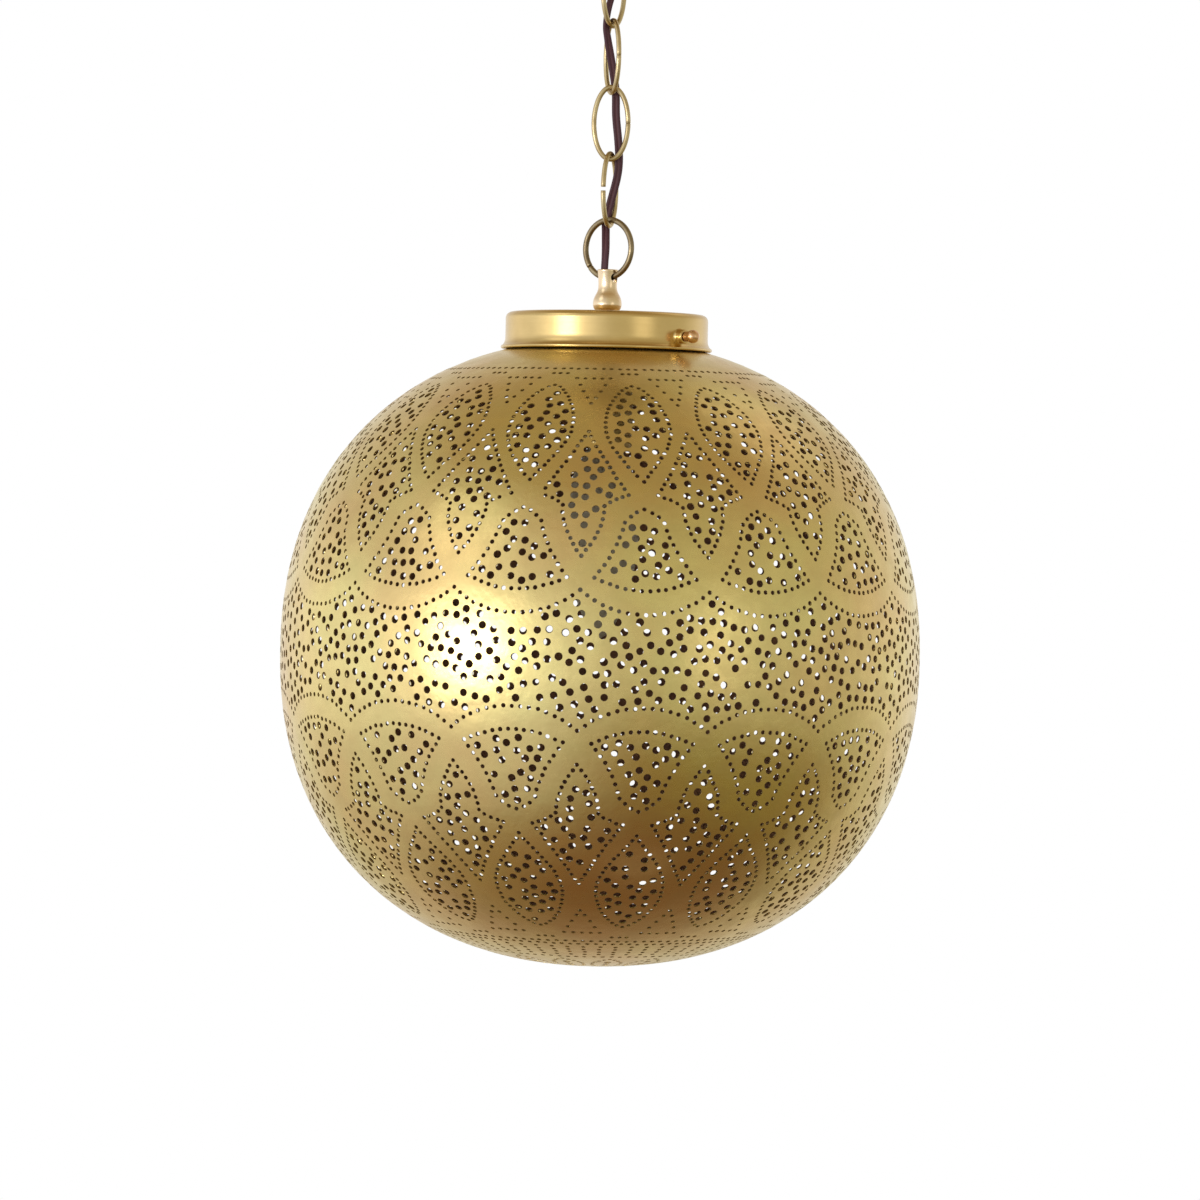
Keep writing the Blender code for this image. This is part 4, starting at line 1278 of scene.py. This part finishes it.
def build_lead():
    """The flat twin lead in six stretches, one across each hinge of the chain."""
    route = flowing(np.array(LEAD_ROUTE, float), 24) * MM
    route[:, 2] += SEAM
    far = np.concatenate([[0], np.cumsum(np.linalg.norm(np.diff(route, axis=0), axis=1))])
    section = lead_section()
    # a painted highlight along the middle of each face of the lead, within 0.42 mm of the groove
    groove_highlight = np.clip(1 - np.abs(section[:, 0]) / (0.42 * MM), 0, 1)
    levels = [route[0, 2]] + [ball(z * MM) for z in LEAD_BREAKS] + [route[-1, 2]]
    heights, turns = np.array(LEAD_TURNS, float).T
    for number, (low, high) in enumerate(zip(levels, levels[1:])):
        start, end = np.interp([low, high], route[:, 2], far)
        steps = round((end - start) / (0.9 * MM))
        want = np.linspace(start, end, steps + 1)
        path = np.stack([np.interp(want, far, route[:, k]) for k in range(3)], axis=1)
        turn = np.radians(np.interp((path[:, 2] - SEAM) / MM, heights, turns))
        sideways = np.stack([np.cos(turn), np.sin(turn), 0 * turn], axis=1)
        surface = carried(path, sideways, section)
        highlight_values = np.tile(groove_highlight, len(path))
        name = f"twin_lead_{len(LEAD_BREAKS) + 1 - number}"
        piece = add_piece(name, [surface], finish_named("brown_twin_lead"), crease=70,
                          highlight_values=[highlight_values])
        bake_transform(piece)
        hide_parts(name.replace("twin_lead", "cord"))


# ---- the stage ------------------------------------------------------------------------------


def build_camera(settings):
    """The camera stands in front at a little over the ball's height and looks level with its top
    half, rolled by a degree."""
    camera = bpy.data.objects.new("camera", bpy.data.cameras.new("camera"))
    camera.data.lens, camera.data.sensor_width = settings.lens, 36
    eye = Vector((-0.5 * MM, -settings.camera_distance, ball(77 * MM)))
    aim = Vector((-0.5 * MM, 0, ball(25.8 * MM)))
    facing = (aim - eye).to_track_quat("-Z", "Y").to_matrix()
    camera.rotation_euler = facing.to_euler()
    camera.rotation_euler.rotate_axis("Z", settings.camera_roll)
    camera.location = eye
    camera.data.clip_start, camera.data.clip_end = 0.05, 100
    bpy.context.collection.objects.link(camera)
    bpy.context.scene.camera = camera


def soft_light(name, azimuth, height, distance, width, tall, power, colour):
    """A soft rectangle of light that faces the ball's centre from a height above it. Azimuth 0
    is the viewer's side."""
    data = bpy.data.lights.new(name, "AREA")
    data.shape, data.size, data.size_y = "RECTANGLE", width, tall
    data.energy, data.color = power, colour
    light = bpy.data.objects.new(name, data)
    turn = math.radians(azimuth)
    place = Vector((distance * math.sin(turn), -distance * math.cos(turn), ball(height)))
    light.location = place
    light.rotation_euler = (Vector((0, 0, ball(0))) - place).to_track_quat("-Z", "Y").to_euler()
    bpy.context.collection.objects.link(light)


def patch_group():
    """Soft_Patch: 1 inside an ellipse of directions, 0 well outside it. All angles in degrees;
    the azimuth wraps behind."""
    group, given, out = build_group(
        "Soft_Patch",
        [("Azimuth", "NodeSocketFloat", 0.0), ("Elevation", "NodeSocketFloat", 0.0),
         ("Towards", "NodeSocketFloat", 0.0), ("Upwards", "NodeSocketFloat", 0.0),
         ("Half width", "NodeSocketFloat", 10.0), ("Half height", "NodeSocketFloat", 10.0)],
        [("Mask", "NodeSocketFloat")])
    away = maths(group, "SUBTRACT", given.outputs["Azimuth"], given.outputs["Towards"])
    around = group.nodes.new("ShaderNodeMath")
    around.operation = "WRAP"
    around.inputs[1].default_value, around.inputs[2].default_value = 180.0, -180.0
    group.links.new(away, around.inputs[0])
    across = maths(group, "DIVIDE", around.outputs[0], given.outputs["Half width"])
    above = maths(group, "SUBTRACT", given.outputs["Elevation"], given.outputs["Upwards"])
    above = maths(group, "DIVIDE", above, given.outputs["Half height"])
    far = maths(group, "SQRT", maths(group, "ADD", maths(group, "MULTIPLY", across, across),
                                     maths(group, "MULTIPLY", above, above)))
    soft = new_node(group, "ShaderNodeMapRange", From_Min=1.6, From_Max=0.4)
    soft.interpolation_type = "SMOOTHSTEP"
    group.links.new(far, soft.inputs["Value"])
    group.links.new(soft.outputs["Result"], out.inputs["Mask"])


# What the metal reflects is a painted studio: one brown floor and one brown ceiling, and walls
# that are pale on the viewer's left, dim on the right and white behind.
STUDIO_FLOOR = (0.20, 0.10, 0.05)
STUDIO_CEILING = (0.45, 0.35, 0.20)
# The elevations, in degrees, at which each side's six colours stand, from floor to ceiling
LEVELS = (-90, -60, -30, 0, 30, 60)
LEFT_ROOM = (STUDIO_FLOOR, (0.35, 0.25, 0.15), (0.75, 0.75, 0.75), (0.85, 0.90, 1.00),
             (0.75, 0.75, 0.70), STUDIO_CEILING)
RIGHT_ROOM = (STUDIO_FLOOR, (0.20, 0.10, 0.05), (0.30, 0.25, 0.10), (0.70, 0.70, 0.60),
              (0.60, 0.55, 0.40), STUDIO_CEILING)
BACK_ROOM = (STUDIO_FLOOR, (0.35, 0.25, 0.20), (0.70, 0.65, 0.55), (1.00, 1.00, 1.00),
             (0.70, 0.65, 0.60), STUDIO_CEILING)
# (azimuth, elevation, half width, half height, strength) of lit patches; azimuth 0 is the viewer
LIT_PATCHES = ((-45, 2, 34, 8, 0.9), (-60, 32, 17, 13, 0.75), (42, 4, 11, 8, 0.70),
               (130, 50, 22, 12, 0.40), (40, -74, 24, 7, 0.16), (-95, 0, 40, 14, 0.25))


def room_colours(tree, elevation, colours):
    """A colour ramp over the elevations of one side of the room."""
    share = new_node(tree, "ShaderNodeMapRange", From_Min=-90.0, From_Max=90.0)
    tree.links.new(elevation, share.inputs["Value"])
    ramp = tree.nodes.new("ShaderNodeValToRGB")
    ramp.color_ramp.interpolation = "EASE"
    points = ramp.color_ramp.elements
    while len(points) < len(LEVELS):
        points.new(1.0)
    for point, level, colour in zip(points, LEVELS, colours):
        point.position = (level + 90) / 180
        point.color = (*colour, 1)
    tree.links.new(share.outputs["Result"], ramp.inputs["Fac"])
    return ramp.outputs["Color"]


def patch_light(tree, azimuth, elevation):
    """The strength that the lit patches add up to in a direction."""
    light = None
    for towards, upwards, half_width, half_height, strength in LIT_PATCHES:
        node = tree.nodes.new("ShaderNodeGroup")
        node.node_tree = bpy.data.node_groups["Soft_Patch"]
        tree.links.new(azimuth, node.inputs["Azimuth"])
        tree.links.new(elevation, node.inputs["Elevation"])
        for name, value in (("Towards", towards), ("Upwards", upwards),
                            ("Half width", half_width), ("Half height", half_height)):
            node.inputs[name].default_value = value
        lit = maths(tree, "MULTIPLY", node.outputs["Mask"], strength)
        light = lit if light is None else maths(tree, "ADD", light, lit)
    return light


def build_world():
    """White all round to the eye and to matt surfaces. What the metal reflects is a room: white
    behind the lantern, brown above and below, darker on the viewer's right, with lit patches."""
    world = bpy.data.worlds.new("white_studio")
    bpy.context.scene.world = world
    world.use_nodes = True
    tree = world.node_tree
    tree.nodes.clear()
    patch_group()
    place = tree.nodes.new("ShaderNodeTexCoord").outputs["Generated"]
    split = tree.nodes.new("ShaderNodeSeparateXYZ")
    tree.links.new(place, split.inputs[0])
    towards = maths(tree, "MULTIPLY", split.outputs["Y"], -1.0)
    azimuth = maths(tree, "DEGREES", maths(tree, "ARCTAN2", split.outputs["X"], towards))
    elevation = maths(tree, "DEGREES", maths(tree, "ARCSINE", split.outputs["Z"]))
    side = new_node(tree, "ShaderNodeMapRange", From_Min=-0.55, From_Max=0.30)
    back = new_node(tree, "ShaderNodeMapRange", From_Min=0.0, From_Max=0.75)
    for node, axis in ((side, "X"), (back, "Y")):
        node.interpolation_type = "SMOOTHSTEP"
        tree.links.new(split.outputs[axis], node.inputs["Value"])
    left, right, behind = [room_colours(tree, elevation, colours)
                           for colours in (LEFT_ROOM, RIGHT_ROOM, BACK_ROOM)]
    front = blend_colours(tree, side.outputs["Result"], left, right)
    colour = blend_colours(tree, back.outputs["Result"], front, behind)
    light = patch_light(tree, azimuth, elevation)
    reflected = tree.nodes.new("ShaderNodeMix")
    reflected.data_type, reflected.blend_type = "RGBA", "ADD"
    reflected.inputs["Factor"].default_value = 1.0
    tree.links.new(colour, reflected.inputs["A"])
    tree.links.new(light, reflected.inputs["B"])
    dim = new_node(tree, "ShaderNodeBackground", Strength=1.0)
    tree.links.new(reflected.outputs["Result"], dim.inputs["Color"])
    seen = new_node(tree, "ShaderNodeBackground", Color=(1, 1, 1, 1), Strength=1.0)
    path = tree.nodes.new("ShaderNodeLightPath")
    pick = tree.nodes.new("ShaderNodeMixShader")
    plain = maths(tree, "MAXIMUM", path.outputs["Is Camera Ray"], path.outputs["Is Diffuse Ray"])
    tree.links.new(plain, pick.inputs["Fac"])
    tree.links.new(dim.outputs[0], pick.inputs[1])
    tree.links.new(seen.outputs[0], pick.inputs[2])
    out = tree.nodes.new("ShaderNodeOutputWorld")
    tree.links.new(pick.outputs[0], out.inputs["Surface"])


def build_floor():
    """A pale round floor, far below the hanging lantern."""
    reach, depth, rings = 3.6, 2.5, 24
    profile = np.stack([np.linspace(0, reach, rings), np.full(rings, -depth)], axis=1)
    made, tree, shader, place = new_finish("pale_floor", 0.8, 0.0, (0.82, 0.81, 0.79))
    mask = use_group(tree, "Mottle", place, Size=0.4, Sharpness=1.0)
    colour = blend_colours(tree, mask, (0.84, 0.83, 0.81), (0.78, 0.77, 0.75))
    tree.links.new(colour, shader.inputs["Base Color"])
    points, faces = revolve(profile, 96)
    floor = add_piece("pale_floor", [(points, faces)], made)
    floor.visible_glossy = False


# ---- the add-on -----------------------------------------------------------------------------


class LanternSettings(bpy.types.PropertyGroup):
    seed: IntProperty(name="Scatter", description="Seed of the scattered holes", default=7)
    bright_brass: FloatVectorProperty(
        name="Bright brass", description="The ball's polished tone", subtype="COLOR",
        default=(0.80, 0.665, 0.27), min=0, max=1)
    dull_brass: FloatVectorProperty(
        name="Dull brass", description="The ball's aged tone", subtype="COLOR",
        default=(0.79, 0.57, 0.24), min=0, max=1)
    camera_distance: FloatProperty(
        name="Distance", description="From the camera to the chain", default=2.13,
        unit="LENGTH")
    camera_roll: FloatProperty(
        name="Roll", description="How far the camera leans", default=math.radians(1.2),
        subtype="ANGLE")
    lens: FloatProperty(name="Lens", description="Focal length in millimetres", default=136.0)


def given():
    """The settings of the scene."""
    return bpy.context.scene.lantern


class LANTERN_OT_finishes(bpy.types.Operator):
    """Makes every finish and gives the kept inner pieces theirs"""
    bl_idname = "lantern.finishes"
    bl_label = "Finishes"

    def execute(self, context):
        make_finishes(given())
        dress_kept_nodes()
        return {"FINISHED"}


class LANTERN_OT_lead(bpy.types.Operator):
    """Weaves the brown twin lead up the chain"""
    bl_idname = "lantern.lead"
    bl_label = "Twin lead"

    def execute(self, context):
        build_lead()
        return {"FINISHED"}


class LANTERN_OT_shade(bpy.types.Operator):
    """Pierces and builds the two halves of the brass ball"""
    bl_idname = "lantern.shade"
    bl_label = "Pierced ball"

    def execute(self, context):
        build_shade(given())
        return {"FINISHED"}


class LANTERN_OT_cap(bpy.types.Operator):
    """Builds the fitter cap and its two thumb screws"""
    bl_idname = "lantern.cap"
    bl_label = "Fitter cap"

    def execute(self, context):
        build_cap()
        build_thumb_screws()
        return {"FINISHED"}


class LANTERN_OT_chain(bpy.types.Operator):
    """Builds the hanger, the ring and the links"""
    bl_idname = "lantern.chain"
    bl_label = "Hanger and chain"

    def execute(self, context):
        build_hanger()
        build_ring()
        build_chain()
        return {"FINISHED"}


class LANTERN_OT_canopy(bpy.types.Operator):
    """Builds the ceiling canopy with its collar and loop"""
    bl_idname = "lantern.canopy"
    bl_label = "Canopy"

    def execute(self, context):
        build_canopy()
        return {"FINISHED"}


class LANTERN_OT_lamp(bpy.types.Operator):
    """Builds the lamp holder and the bulb"""
    bl_idname = "lantern.lamp"
    bl_label = "Holder and bulb"

    def execute(self, context):
        build_holder()
        build_bulb()
        return {"FINISHED"}


class LANTERN_OT_stage(bpy.types.Operator):
    """Sets up the camera, the light, the surroundings and the floor"""
    bl_idname = "lantern.stage"
    bl_label = "Stage"

    def execute(self, context):
        build_camera(given())
        build_world()
        build_floor()
        soft_light("left_strip", azimuth=-46, height=0.125, distance=4.0, width=1.50, tall=0.50,
                   power=32.0, colour=(1.0, 0.99, 0.98))
        context.scene.view_settings.view_transform = "Standard"
        return {"FINISHED"}


OPERATORS = (LANTERN_OT_stage, LANTERN_OT_finishes, LANTERN_OT_lead, LANTERN_OT_shade,
             LANTERN_OT_cap, LANTERN_OT_chain, LANTERN_OT_canopy, LANTERN_OT_lamp)


class LANTERN_PT_panel(bpy.types.Panel):
    """The lantern's steps and settings"""
    bl_idname = "LANTERN_PT_panel"
    bl_label = "Lantern"
    bl_space_type = "VIEW_3D"
    bl_region_type = "UI"
    bl_category = "Lantern"

    def draw(self, context):
        for name in LanternSettings.__annotations__:
            self.layout.prop(context.scene.lantern, name)
        for operator in OPERATORS:
            self.layout.operator(operator.bl_idname)


def register():
    for each in (LanternSettings, *OPERATORS, LANTERN_PT_panel):
        bpy.utils.register_class(each)
    bpy.types.Scene.lantern = PointerProperty(type=LanternSettings)


def unregister():
    del bpy.types.Scene.lantern
    for each in reversed((LanternSettings, *OPERATORS, LANTERN_PT_panel)):
        bpy.utils.unregister_class(each)


def main():
    register()
    bpy.ops.lantern.finishes()
    bpy.ops.lantern.stage()
    bpy.ops.lantern.lead()
    bpy.ops.lantern.shade()
    bpy.ops.lantern.cap()
    bpy.ops.lantern.chain()
    bpy.ops.lantern.canopy()
    bpy.ops.lantern.lamp()


if __name__ == "__main__":
    main()
